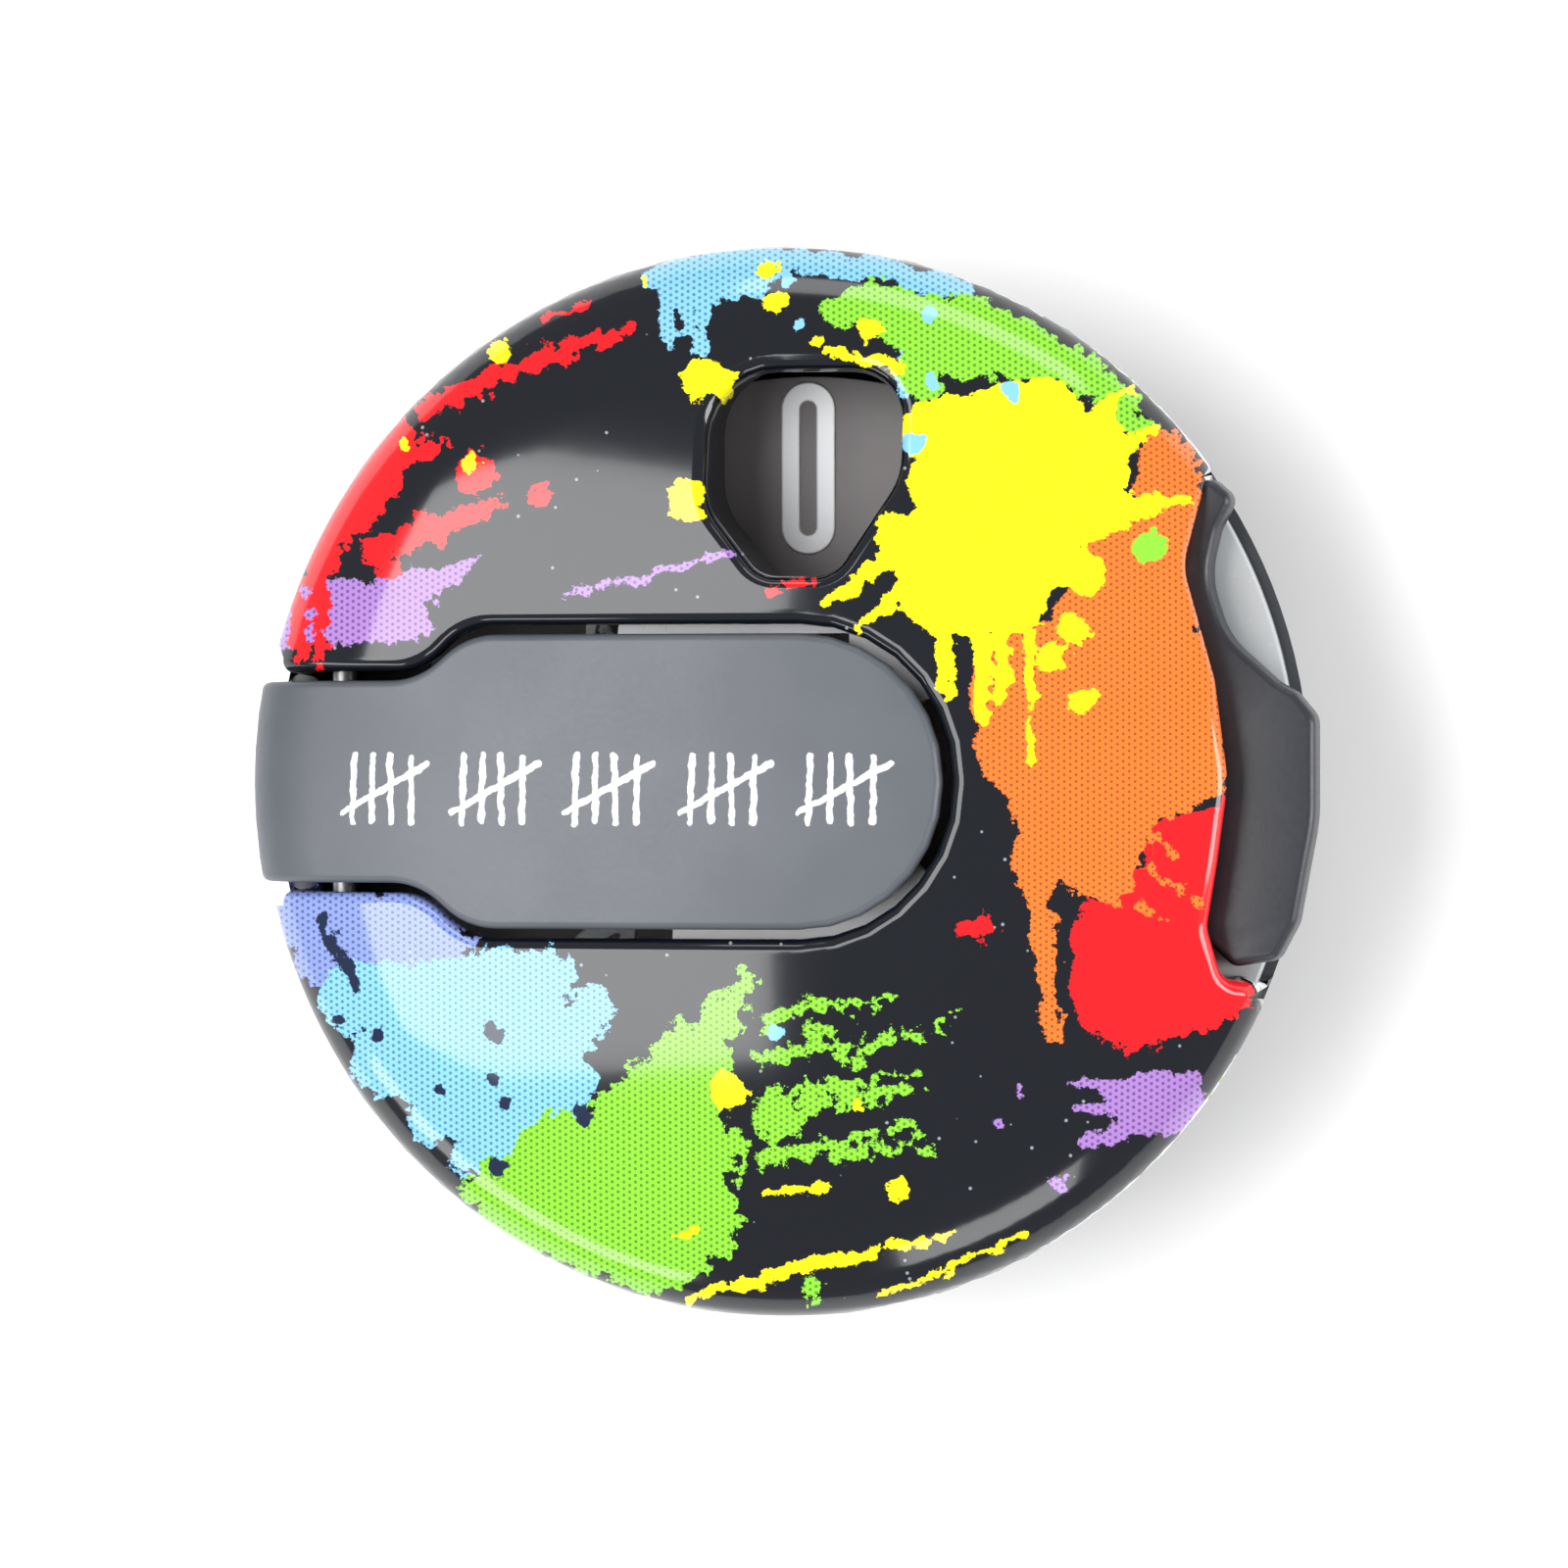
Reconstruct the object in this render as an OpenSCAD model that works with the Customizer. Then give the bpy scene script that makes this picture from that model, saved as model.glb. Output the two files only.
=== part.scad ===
// Round clip-on tally counter: a domed case with a press tongue that counts up,
// a display window over a number wheel, a side lever that resets, and a spring clip.
// Frame: origin on the clip's outer face under the centre of the case, +Z out of the
// face, +X towards the reset lever, +Y towards the display window. Millimetres.

/* [Case] */
// Outside diameter of the case
case_d = 40; // [38:0.5:50]
// Height of the crown above the clip's outer face
total_h = 15.3; // [15:0.1:19]
// Wall of the front shell
shell_wall = 1.2; // [1:0.05:1.5]
// Radius of the gentle crown
crown_r = 60; // [50:1:90]
// Width of the rounded shoulder between the crown and the rim
shoulder_w = 5; // [4:0.1:6]
// Height of the rim, where the shoulder turns into the side
rim_z = 10; // [9.8:0.1:10.6]
// Height of the joint between the front shell and the rear case
parting_z = 8.4; // [8.2:0.05:8.5]
// Height of the rear case's back face
back_z = 3.8; // [3.6:0.1:3.9]
// Thickness of the rear case's floor
floor_t = 1.2; // [1:0.1:1.3]

/* [Number wheel] */
// Radius of the number wheel
wheel_r = 15.2; // [14.6:0.1:15.3]
// Distance of the wheel's axis from the case's axis, towards the lever
wheel_x = 0.8; // [0.4:0.1:0.9]
// Radius of the wheel's axle
axle_r = 1; // [0.8:0.05:1.3]
// Number of positions on the wheel, one of them blank
positions = 14; // [12:1:16]
// Radius over the ratchet teeth
ratchet_tip_r = 3.8; // [3.4:0.05:3.9]
// Depth of the ratchet teeth
tooth_depth = 0.8; // [0.5:0.05:0.9]

/* [Press tongue] */
// Half the width of the tongue's neck
neck_half = 3.8; // [3.5:0.1:4.2]
// Half the width of the tongue's head
head_half = 5.5; // [5:0.1:5.8]
// Reach of the head's round end past the case's axis
head_reach = 7; // [6:0.1:7.5]
// Thickness of the tongue
tongue_t = 1.3; // [1:0.1:1.4]
// Angle of a full press
press_deg = 5; // [4:0.25:5]
// Gap between the tongue and its slot
slot_gap = 0.38; // [0.3:0.02:0.5]
// Radius of the tongue's hinge pin
hinge_pin_r = 0.45; // [0.35:0.05:0.55]

/* [Reset lever] */
// Thickness of the lever
lever_t = 1.6; // [1.2:0.1:1.6]
// How far the lever's pad stands out of the case
pad_proud = 0.25; // [0:0.05:0.6]
// Radius of the lever's pivot pin
lever_pin_r = 0.5; // [0.4:0.05:0.6]

/* [Clip] */
// Thickness of the clip's arm
clip_t = 1.4; // [1:0.1:1.5]
// Half the width of the clip's arm
clip_half = 6.5; // [6:0.1:8]
// Radius of the clip's hinge pin
clip_pin_r = 0.75; // [0.6:0.05:0.85]

/* [Screws] */
// Radius of the case screws
screw_r = 0.45; // [0.35:0.05:0.5]

/* [Hidden] */
$fn = 48;
// Clearances
run_gap = 0.05;    // a turning pin or stud in its bore, on the radius
fit_gap = 0.01;    // a pin held fast in its hole, on the radius
seat_gap = 0.02;   // two fixed pieces that lie against each other
swing_gap = 0.1;   // a moving piece beside a fixed one
cavity_gap = 0.15; // what stands on the rear case beside the front shell

// Case
case_r = case_d / 2;
shoulder_r = case_r - shoulder_w;
parting_r = case_r - 0.3;
floor_z = back_z + floor_t;
collar_wall = 0.8;
collar_z = 10.4;
lip_t = 0.55;
lip_h = 0.7;
post_r = 1;
screw_circle_r = case_r - 3.1;
screw_angles = [52, 130, -130, -52];
screw_head_r = 0.85;
screw_head_h = 0.5;
screw_top_z = parting_z + 1.6;
seam_angle = 203; // where the dome's revolved surface closes on itself, clear of every cut

// Wheel and what turns it, from the floor up
hub_r = 2.6;
hub_z = floor_z + 0.3;
disc_t = 1;
disc_z = 7.8;
disc_top_z = disc_z + disc_t;
bush_r = axle_r + 0.55;
axle_bore_r = axle_r + run_gap;
pivot_r = 0.6;
ratchet_t = 0.9;
pitch_deg = 360 / positions;
wheel_turn_deg = pitch_deg * (positions - 2);
pawl_z = disc_top_z + 0.2;
pawl_t = 0.7;
slide_z = pawl_z + pawl_t + 0.1;
slide_t = 0.55;
bridge_z = slide_z + slide_t + 0.15;
bridge_t = 0.6;
bridge_top_z = bridge_z + bridge_t;

// Wheel stop: a tab under the disc runs from one side of a rib on the floor to the other
tab_arc = 12;
tab_angle = 200;
tab_r = [12, 13.5];
tab_h = 0.7;
stop_side_gap = 0.7;
stop_arc = 360 - wheel_turn_deg - tab_arc - 2 * stop_side_gap;
stop_r = [11.8, 13.7];

// Spiral return spring and the ring that holds its outer end
spiral_r = [3.2, 8.5];
spiral_turns = 4.5;
spiral_t = 0.2;
spiral_z = hub_z;
spiral_h = 1.5;
ring_r = [9, 9.8];
ring_h = 2;

// Tongue hinge, along Y
hinge_x = -(case_r - 3);
hinge_z = 9.2;
hinge_boss_r = 1;
rib_y = 2.7;
rib_t = 0.8;
post_y = 4.2;
post_t = 0.8;
tongue_drop = 0.12;
tongue_proud = 0.25;
tongue_bend_w = 2.75;
skirt_z = parting_z + swing_gap;

// Slide that the tongue's wedge drives
slide_travel = 1.95;
wedge_left = -0.9;
wedge_right = 0;
wedge_tip_z = bridge_z + 0.2;
wedge_y = [head_half - 0.9, head_half - 0.1];
wedge_gap = 0.2;
wedge_slope = slide_travel / ((wedge_right - hinge_x + 0.5) * sin(press_deg)) * 0.94;
slide_x = [-7.4, 4.9];
slide_y = [3.3, 6.4];
stud_r = 0.45;
stud_head_r = 0.6;
stud_xs = [-4.6, 3.9];
stud_y = 5.6;
drive_pin_r = 0.4;
drive_pin = [-4.4, 4.1];

// Holding pawl, reset lever and the finger between them
pawl_pin_r = 0.5;
pawl_pin = [wheel_x + 7, -5.2];
pawl_nose = [wheel_x + 1.75, -3.65];
pawl_tail = [wheel_x + 7.5, -1.7];
lever_pivot = [case_r - 4.8, 9.1];
lever_z = parting_z + 0.8;
ledge_z = parting_z + 0.6;
ledge_r = case_r - 0.7;
lever_post_z = 7;
knob_r = 2.4;
finger_t = 1.1;
finger_y = [-2.2, -0.9];
pad_x = case_r + pad_proud;

// Clip hinge, along X
clip_hinge = [8, 2.3];
clip_barrel_r = 1.35;
clip_ear_x = [5.2, 6.4];
clip_bore_r = clip_pin_r + run_gap;
coil_window_x = 2.1;
jaw_y = [-16.8, -14.8];
pad_t = 0.6;
pad_gap = 0.3;

// Names of the sub-parts

// ---- Outlines ---------------------------------------------------------------------

function unit(v) = v / norm(v);

// Points of the arc of radius r that rounds the corner b between a and c
function corner(a, b, c, r, steps = 8) =
    let (u = unit(a - b), w = unit(c - b),
         half = acos(u * w) / 2,
         reach = min(r / tan(half), 0.49 * norm(a - b), 0.49 * norm(c - b)),
         arc_r = reach * tan(half),
         centre = b + unit(u + w) * arc_r / sin(half),
         from = b + u * reach - centre,
         to = b + w * reach - centre,
         start = atan2(from.y, from.x),
         turn = atan2(to.y, to.x) - start,
         sweep = turn > 180 ? turn - 360 : turn < -180 ? turn + 360 : turn)
    r == 0 ? [b]
           : [for (i = [0:steps]) centre + arc_r * [cos(start + sweep * i / steps),
                                                    sin(start + sweep * i / steps)]];

function flat(p) = [p[0], p[1]];

// Outline through [x, y, r] corners, each rounded by its own radius
function rounded(points) =
    let (n = len(points))
    [for (i = [0:n - 1])
        each corner(flat(points[(i + n - 1) % n]), flat(points[i]),
                    flat(points[(i + 1) % n]), points[i][2])];

module plate(points, z, t) {
    translate([0, 0, z])
        linear_extrude(t)
            polygon(rounded(points));
}

module sector(r, start, arc, z, h) {
    translate([0, 0, z])
        rotate_extrude(angle = arc, start = start)
            translate([r[0], 0])
                square([r[1] - r[0], h]);
}

// Round rod along Y or X, centred on the other two axes
module rod_y(r, x, z, y0, y1) {
    translate([x, y0, z])
        rotate([-90, 0, 0])
            cylinder(r = r, h = y1 - y0);
}

module rod_x(r, y, z, x0, x1) {
    translate([x0, y, z])
        rotate([0, 90, 0])
            cylinder(r = r, h = x1 - x0);
}

// ---- Dome -------------------------------------------------------------------------

// Profile of a dome: a crown of radius round, a shoulder that starts at bend_r and
// turns down into the side at (side_r, side_z), and a side down to (foot_r, foot_z)
function crown_z(r, top, round) = top - round + sqrt(round * round - r * r);

function shoulder_curve(a, b, c, steps) =
    [for (i = [0:steps])
        let (t = i / steps)
        (1 - t) * (1 - t) * a + 2 * t * (1 - t) * b + t * t * c];

function dome_profile(top, round, bend_r, side_r, side_z, foot_r, foot_z) =
    let (bend_z = crown_z(bend_r, top, round),
         fall = bend_r / sqrt(round * round - bend_r * bend_r),
         turn_z = max(bend_z - fall * (side_r - bend_r), side_z + 0.2))
    concat([[0, foot_z], [foot_r, foot_z]],
           shoulder_curve([side_r, side_z], [side_r, turn_z], [bend_r, bend_z], 10),
           [for (i = [5:-1:0]) [bend_r * i / 6, crown_z(bend_r * i / 6, top, round)]]);

module dome(top, round, bend_r, side_r, side_z, foot_r, foot_z) {
    rotate(seam_angle)
        rotate_extrude()
            polygon(dome_profile(top, round, bend_r, side_r, side_z, foot_r, foot_z));
}

module shell_outside(inset = 0) {
    dome(total_h - inset, crown_r - inset, shoulder_r - 0.3 * inset, case_r - inset,
         rim_z, parting_r - inset, parting_z);
}

module cavity() {
    translate([0, 0, -0.01])
        shell_outside(shell_wall);
}

module tongue_skin(inset) {
    dome(total_h - tongue_drop - inset, crown_r - inset,
         case_r + tongue_proud - tongue_bend_w, case_r + tongue_proud - inset,
         rim_z, case_r + tongue_proud - inset, skirt_z - 2 * inset);
}

// ---- Openings of the front shell --------------------------------------------------

function tongue_outline(gap) =
    let (far = -case_r - 3, neck = neck_half + gap, head = head_half + gap)
    [[far, -neck, 0], [-13.2 + gap / 2, -neck, 3], [-11.2 + gap / 2 - gap, -head, 3],
     [head_reach + gap, -head, head - 0.05], [head_reach + gap, head, head - 0.05],
     [-11.2 - gap / 2, head, 3], [-13.2 + gap / 2, neck, 3], [far, neck, 0]];

// Display window, like a plectrum, wider at the rim than at the centre
function window_outline(grow) =
    [[-2.05 - grow, 15.4 + grow, 3.55 + grow], [-2.05 - grow, 10.3 - grow / 2, 2.6 + grow],
     [0.1 - grow / 2, 7.6 - grow, 1.35 + grow], [2.9 + grow / 2, 7.6 - grow, 1.35 + grow],
     [5.25 + grow, 11.3 - grow / 2, 2.6 + grow], [5.25 + grow, 15.4 + grow, 3.55 + grow]];

// Cut in the rim that the reset lever works in
function notch_outline() =
    let (out = case_r + 2)
    [[out, 12.3, 0], [case_r - 3.5, 11.6, 0.6], [case_r - 4.3, 8, 2.5],
     [case_r - 3.1, 3.8, 3], [case_r - 2.6, 0, 5], [case_r - 3, -3, 4],
     [case_r - 3.4, -5.4, 1.2], [case_r - 2.9, -7.4, 0.8], [out, -8.3, 0]];

// ---- Case -------------------------------------------------------------------------

module front_shell() {
    color([0.1, 0.12, 0.15])
        difference() {
            union() {
                difference() {
                    shell_outside();
                    cavity();
                }
                intersection() {
                    plate(window_outline(collar_wall), collar_z, total_h);
                    shell_outside(0.2);
                }
                ledge();
                for (a = screw_angles)
                    shell_post(a);
            }
            plate(tongue_outline(slot_gap), parting_z - 1, total_h);
            plate(window_outline(0), 0, total_h + 1);
            plate(notch_outline(), ledge_z, total_h);
            lever_spring_pocket();
            knob_pocket();
            sector([ledge_r, case_r + 1], -22, 52, parting_z - 1, ledge_z + 1 - parting_z);
            for (a = screw_angles)
                rotate(a)
                    translate([screw_circle_r, 0, 0])
                        cylinder(r = screw_r + seat_gap, h = screw_top_z);
        }
}

// Shelf under the lever, set back from the rim
module ledge() {
    intersection() {
        sector([case_r - 3.6, case_r - shell_wall / 2], -24, 60, parting_z,
               ledge_z - parting_z);
        shell_outside();
    }
}

module shell_post(a) {
    intersection() {
        rotate(a)
            translate([screw_circle_r, 0, parting_z + seat_gap])
                cylinder(r = post_r, h = total_h);
        shell_outside(shell_wall / 2);
    }
}

module lever_spring_pocket() {
    translate([lever_pivot.x, lever_pivot.y, lever_post_z])
        cylinder(r = 1.25, h = lever_z + lever_t + 0.3 - lever_post_z);
}

// Room for the lever's knob to turn under the shell's skin
module knob_pocket() {
    translate([lever_pivot.x, lever_pivot.y, ledge_z])
        cylinder(r = knob_r + swing_gap, h = lever_z + lever_t + 0.15 - ledge_z);
}

module rear_case() {
    color([0.12, 0.13, 0.15])
        difference() {
            union() {
                rear_tub();
                intersection() {
                    rear_posts();
                    room_for_posts();
                }
                rear_lip();
                clip_ears();
            }
            rear_bores();
        }
}

module rear_tub() {
    rotate_extrude()
        polygon([[0, back_z], [case_r - 2.1, back_z], [case_r - 1.5, back_z + 0.25],
                 [case_r - 1.1, back_z + 0.9], [parting_r, parting_z - seat_gap],
                 [parting_r - shell_wall, parting_z - seat_gap],
                 [case_r - 2.2, floor_z + 0.3], [case_r - 2.7, floor_z], [0, floor_z]]);
}

// Space inside the case that the posts keep to
module room_for_posts() {
    shell_outside(shell_wall + cavity_gap);
    translate([0, 0, back_z])
        cylinder(r = parting_r - shell_wall - cavity_gap, h = parting_z + 0.01 - back_z);
}

// Bosses, ring, stop and posts that stand on the floor
module rear_posts() {
    foot_z = back_z + 0.5;
    for (a = screw_angles)
        rotate(a)
            translate([screw_circle_r, 0, foot_z])
                cylinder(r = post_r, h = parting_z - foot_z);
    for (x = bridge_post_xs())
        translate([x, bridge_post_y(), foot_z])
            cylinder(r = post_r, h = bridge_z - seat_gap - foot_z);
    for (s = [-1, 1])
        hinge_post(s);
    translate([lever_pivot.x, lever_pivot.y, foot_z])
        cylinder(r = post_r, h = lever_post_z - foot_z);
    translate([wheel_x, 0, 0]) {
        translate([0, 0, foot_z])
            cylinder(r = hub_r - 0.4, h = floor_z + 0.2 - foot_z);
        sector(ring_r, 0, 360, foot_z, floor_z + ring_h - foot_z);
        sector(stop_r, tab_angle + tab_arc / 2 + stop_side_gap, stop_arc, foot_z,
               disc_z - 0.2 - foot_z);
    }
}

function bridge_post_xs() = [-4.5, 4.5];
function bridge_post_y() = -(wheel_r + 0.9);

module hinge_post(s) {
    y0 = s > 0 ? post_y : -post_y - post_t;
    translate([hinge_x - 1.6, y0, back_z + 0.5])
        cube([1.6 + hinge_boss_r - 0.05, post_t, hinge_z - back_z - 0.5]);
    rod_y(hinge_boss_r - 0.05, hinge_x, hinge_z, y0, y0 + post_t);
}

// Ring that centres the front shell, left open at the tongue and at the lever
module rear_lip() {
    outer = parting_r - shell_wall - 0.05;
    sector([outer - lip_t, outer], 40, 120, parting_z - 0.6, lip_h + 0.6);
    sector([outer - lip_t, outer], 200, 130, parting_z - 0.6, lip_h + 0.6);
}

module clip_ears() {
    for (x = [-clip_ear_x[1], clip_ear_x[0]]) {
        rod_x(clip_pin_r + 0.65, clip_hinge.x, clip_hinge.y, x, x + clip_ear_x[1] - clip_ear_x[0]);
        translate([x, clip_hinge.x - clip_pin_r - 0.65, clip_hinge.y])
            cube([clip_ear_x[1] - clip_ear_x[0], 2 * (clip_pin_r + 0.65),
                  floor_z - 0.5 - clip_hinge.y]);
    }
}

module rear_bores() {
    for (a = screw_angles)
        rotate(a)
            translate([screw_circle_r, 0, 0]) {
                cylinder(r = screw_r + seat_gap, h = parting_z + 1);
                translate([0, 0, back_z - 0.01])
                    cylinder(r1 = screw_head_r + seat_gap, r2 = screw_r + seat_gap,
                             h = screw_head_h);
            }
    for (x = bridge_post_xs())
        translate([x, bridge_post_y(), floor_z + 1])
            cylinder(r = screw_r + seat_gap, h = bridge_z);
    rod_y(hinge_pin_r + fit_gap, hinge_x, hinge_z, -post_y - post_t - 1, post_y + post_t + 1);
    translate([lever_pivot.x, lever_pivot.y, floor_z])
        cylinder(r = lever_pin_r + fit_gap, h = total_h);
    lever_spring_pocket();
    translate([wheel_x, 0, back_z + 0.4])
        cylinder(r = axle_r + fit_gap, h = total_h);
    rod_x(clip_pin_r + fit_gap, clip_hinge.x, clip_hinge.y, -clip_ear_x[1] - 1, clip_ear_x[1] + 1);
    // Clearance for the tongue's hinge ribs and the lever's knob
    translate([hinge_x - 1.35, -rib_y - rib_t - swing_gap, hinge_z - hinge_boss_r - 0.2])
        cube([2 * hinge_boss_r + 0.6, 2 * (rib_y + rib_t + swing_gap), total_h]);
}

module flat_screw(top_z, tip_z, head_z, turned) {
    // Countersunk screw: the head's flat face lies at head_z
    translate([0, 0, min(top_z, tip_z)])
        cylinder(r = screw_r, h = abs(top_z - tip_z));
    translate([0, 0, head_z])
        mirror([0, 0, turned ? 1 : 0])
            difference() {
                cylinder(r1 = screw_head_r, r2 = screw_r, h = screw_head_h);
                for (a = [0, 90])
                    rotate(a)
                        translate([-0.5, -0.1, -0.01])
                            cube([1, 0.2, 0.25]);
            }
}

module case_screws() {
    color("silver")
        for (a = screw_angles)
            rotate(a)
                translate([screw_circle_r, 0, 0])
                    flat_screw(back_z + 0.2, screw_top_z - 0.3, back_z, false);
}

// ---- Number wheel -----------------------------------------------------------------

module wheel_axle() {
    color("silver")
        translate([wheel_x, 0, back_z + 0.4]) {
            cylinder(r = axle_r, h = bridge_z - 0.1 - back_z - 0.4);
            cylinder(r = pivot_r, h = bridge_top_z + 0.1 - back_z - 0.4);
        }
}

module thrust_washer() {
    color("gold")
        translate([wheel_x, 0, floor_z + 0.2 + seat_gap / 2])
            difference() {
                cylinder(r = hub_r - 0.4, h = 0.06);
                translate([0, 0, -1])
                    cylinder(r = axle_bore_r, h = 3);
            }
}

module number_wheel() {
    color([0.28, 0.28, 0.3])
        translate([wheel_x, 0, 0])
            difference() {
                union() {
                    translate([0, 0, disc_z])
                        cylinder(r = wheel_r, h = disc_t);
                    translate([0, 0, hub_z])
                        cylinder(r = hub_r, h = disc_z - hub_z + 0.1);
                    sector(tab_r, tab_angle - tab_arc / 2, tab_arc, disc_z - tab_h, tab_h + 0.2);
                }
                translate([0, 0, hub_z - 1])
                    cylinder(r = bush_r + fit_gap, h = total_h);
            }
}

module wheel_bush() {
    color("gold")
        translate([wheel_x, 0, hub_z])
            difference() {
                cylinder(r = bush_r, h = disc_top_z - hub_z);
                translate([0, 0, -1])
                    cylinder(r = axle_bore_r, h = total_h);
            }
}

// Saw teeth: the steep side of each tooth faces anticlockwise
module ratchet_wheel() {
    color("gold")
        translate([wheel_x, 0, disc_top_z + seat_gap])
            difference() {
                linear_extrude(ratchet_t - seat_gap)
                    polygon([for (i = [0:positions - 1]) let (a = pitch_deg * i)
                        each [ratchet_tip_r * [cos(a), sin(a)],
                              (ratchet_tip_r - tooth_depth) * [cos(a + 1), sin(a + 1)]]]);
                translate([0, 0, -1])
                    cylinder(r = axle_bore_r, h = 3);
            }
}

module return_spring() {
    steps = 16 * spiral_turns;
    function arm(i, side) =
        let (r = spiral_r[0] + (spiral_r[1] - spiral_r[0]) * i / steps + side * spiral_t / 2,
             a = i * 22.5)
        r * [cos(a), sin(a)];
    color("silver")
        translate([wheel_x, 0, spiral_z])
            linear_extrude(spiral_h)
                polygon(concat([for (i = [0:steps]) arm(i, 1)],
                               [for (i = [steps:-1:0]) arm(i, -1)]));
}

// ---- Bridge over the wheel --------------------------------------------------------

function bridge_outline() =
    let (foot = bridge_post_y() - 1.2)
    [[-5.7, foot, 1.2], [5.7, foot, 1.2], [5.7, foot + 3, 2], [4.2, -11.5, 2],
     [5.2, -7.6, 1.5], [pawl_pin.x + 1.4, -6.8, 1.2], [pawl_pin.x + 1.4, -3.9, 1.2],
     [5.2, -3.4, 1.2], [4.8, 3, 1.5], [9.1, 3.6, 0.6], [9.1, 6.5, 0.6],
     [-6, 6.5, 0.9], [-6, 3, 1.2], [-3.6, 0.5, 2], [-4.2, -11.5, 2], [-5.7, foot + 3, 2]];

module mechanism_bridge() {
    top_x = wedge_right + wedge_slope * (bridge_top_z + 1.6 - wedge_tip_z);
    color("lightgray")
        difference() {
            union() {
                intersection() {
                    plate(bridge_outline(), bridge_z, bridge_t);
                    shell_outside(shell_wall + cavity_gap);
                }
                // Tab that the slide's spring pushes against
                translate([8.4, 3.9, pawl_z + 0.1])
                    cube([0.6, 1.8, bridge_z - pawl_z]);
            }
            translate([wedge_left - 0.25, wedge_y[0] - 0.12, 0])
                cube([top_x + 0.65 - wedge_left, wedge_y[1] - wedge_y[0] + 0.24, total_h]);
            translate([wheel_x, 0, 0])
                cylinder(r = pivot_r + fit_gap, h = total_h);
            for (x = stud_xs)
                translate([x, stud_y, 0])
                    cylinder(r = stud_r + fit_gap, h = total_h);
            translate([pawl_pin.x, pawl_pin.y, 0])
                cylinder(r = pawl_pin_r + fit_gap, h = total_h);
            translate([0.3, -9, 0])
                cylinder(r = 2, h = total_h);
            for (x = bridge_post_xs())
                translate([x, bridge_post_y(), 0]) {
                    cylinder(r = screw_r + seat_gap, h = total_h);
                    translate([0, 0, bridge_top_z - screw_head_h])
                        cylinder(r1 = screw_r + seat_gap, r2 = screw_head_r + seat_gap,
                                 h = screw_head_h + 0.01);
                }
        }
}

module bridge_screws() {
    color("silver")
        for (x = bridge_post_xs())
            translate([x, bridge_post_y(), 0])
                flat_screw(bridge_top_z - 0.2, floor_z + 1.5, bridge_top_z, true);
}

// Headed studs that carry the slide under the bridge
module slide_studs() {
    color("silver")
        for (x = stud_xs)
            translate([x, stud_y, 0]) {
                translate([0, 0, slide_z - 0.1])
                    cylinder(r = stud_r, h = bridge_top_z - slide_z + 0.1);
                translate([0, 0, slide_z - 0.5])
                    cylinder(r = stud_head_r, h = 0.4);
            }
}

// ---- Press tongue -----------------------------------------------------------------

module count_tongue() {
    color([0.37, 0.39, 0.42])
        difference() {
            union() {
                intersection() {
                    plate(tongue_outline(0), skirt_z, total_h);
                    difference() {
                        tongue_skin(0);
                        tongue_skin(tongue_t);
                    }
                }
                intersection() {
                    union() {
                        for (s = [-1, 1])
                            hinge_rib(s);
                        wedge();
                    }
                    union() {
                        tongue_skin(tongue_t / 2);
                        rod_y(hinge_boss_r, hinge_x, hinge_z, -post_y, post_y);
                    }
                }
            }
            rod_y(hinge_pin_r + run_gap, hinge_x, hinge_z, -post_y - 1, post_y + 1);
        }
}

module hinge_rib(s) {
    y0 = s > 0 ? rib_y : -rib_y - rib_t;
    rod_y(hinge_boss_r, hinge_x, hinge_z, y0, y0 + rib_t);
    translate([0, y0 + rib_t, 0])
        rotate([90, 0, 0])
            linear_extrude(rib_t)
                polygon([[hinge_x - 0.9, hinge_z + 0.4], [hinge_x + 0.9, hinge_z - 0.4],
                         [hinge_x + 3.2, total_h], [hinge_x - 1, total_h]]);
}

// Wedge under the tongue, whose slanting face pushes the slide
module wedge() {
    reach_z = bridge_top_z + 1.6;
    translate([0, wedge_y[1], 0])
        rotate([90, 0, 0])
            linear_extrude(wedge_y[1] - wedge_y[0])
                polygon([[wedge_left, wedge_tip_z], [wedge_right, wedge_tip_z],
                         [wedge_right + wedge_slope * (reach_z - wedge_tip_z), reach_z],
                         [wedge_right + wedge_slope * (reach_z - wedge_tip_z), total_h],
                         [wedge_left, total_h]]);
}

module tongue_hinge_pin() {
    color("silver")
        rod_y(hinge_pin_r, hinge_x, hinge_z, -post_y - post_t, post_y + post_t);
}

// ---- Slide and drive pawl ---------------------------------------------------------

module drive_slide() {
    wall_top = wedge_right + wedge_slope * (slide_z + slide_t - wedge_tip_z) + wedge_gap;
    wall_low = wedge_right + wedge_slope * (slide_z - wedge_tip_z) + wedge_gap;
    hole_left = wedge_left - slide_travel - 0.2;
    color([0.85, 0.83, 0.78])
        difference() {
            plate([[slide_x[0], slide_y[0], 0.6], [slide_x[1], slide_y[0], 0.6],
                   [slide_x[1], slide_y[1], 0.6], [slide_x[0], slide_y[1], 0.6]],
                  slide_z, slide_t);
            translate([0, wedge_y[1] + 0.1, slide_z])
                rotate([90, 0, 0])
                    linear_extrude(wedge_y[1] - wedge_y[0] + 0.2)
                        polygon([[hole_left, -0.1], [wall_low - 0.1 * wedge_slope, -0.1],
                                 [wall_top + 0.1 * wedge_slope, slide_t + 0.1],
                                 [hole_left, slide_t + 0.1]]);
            for (x = stud_xs)
                stud_slot(x);
            translate([drive_pin.x, drive_pin.y, 0])
                cylinder(r = drive_pin_r + fit_gap, h = total_h);
        }
}

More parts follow.
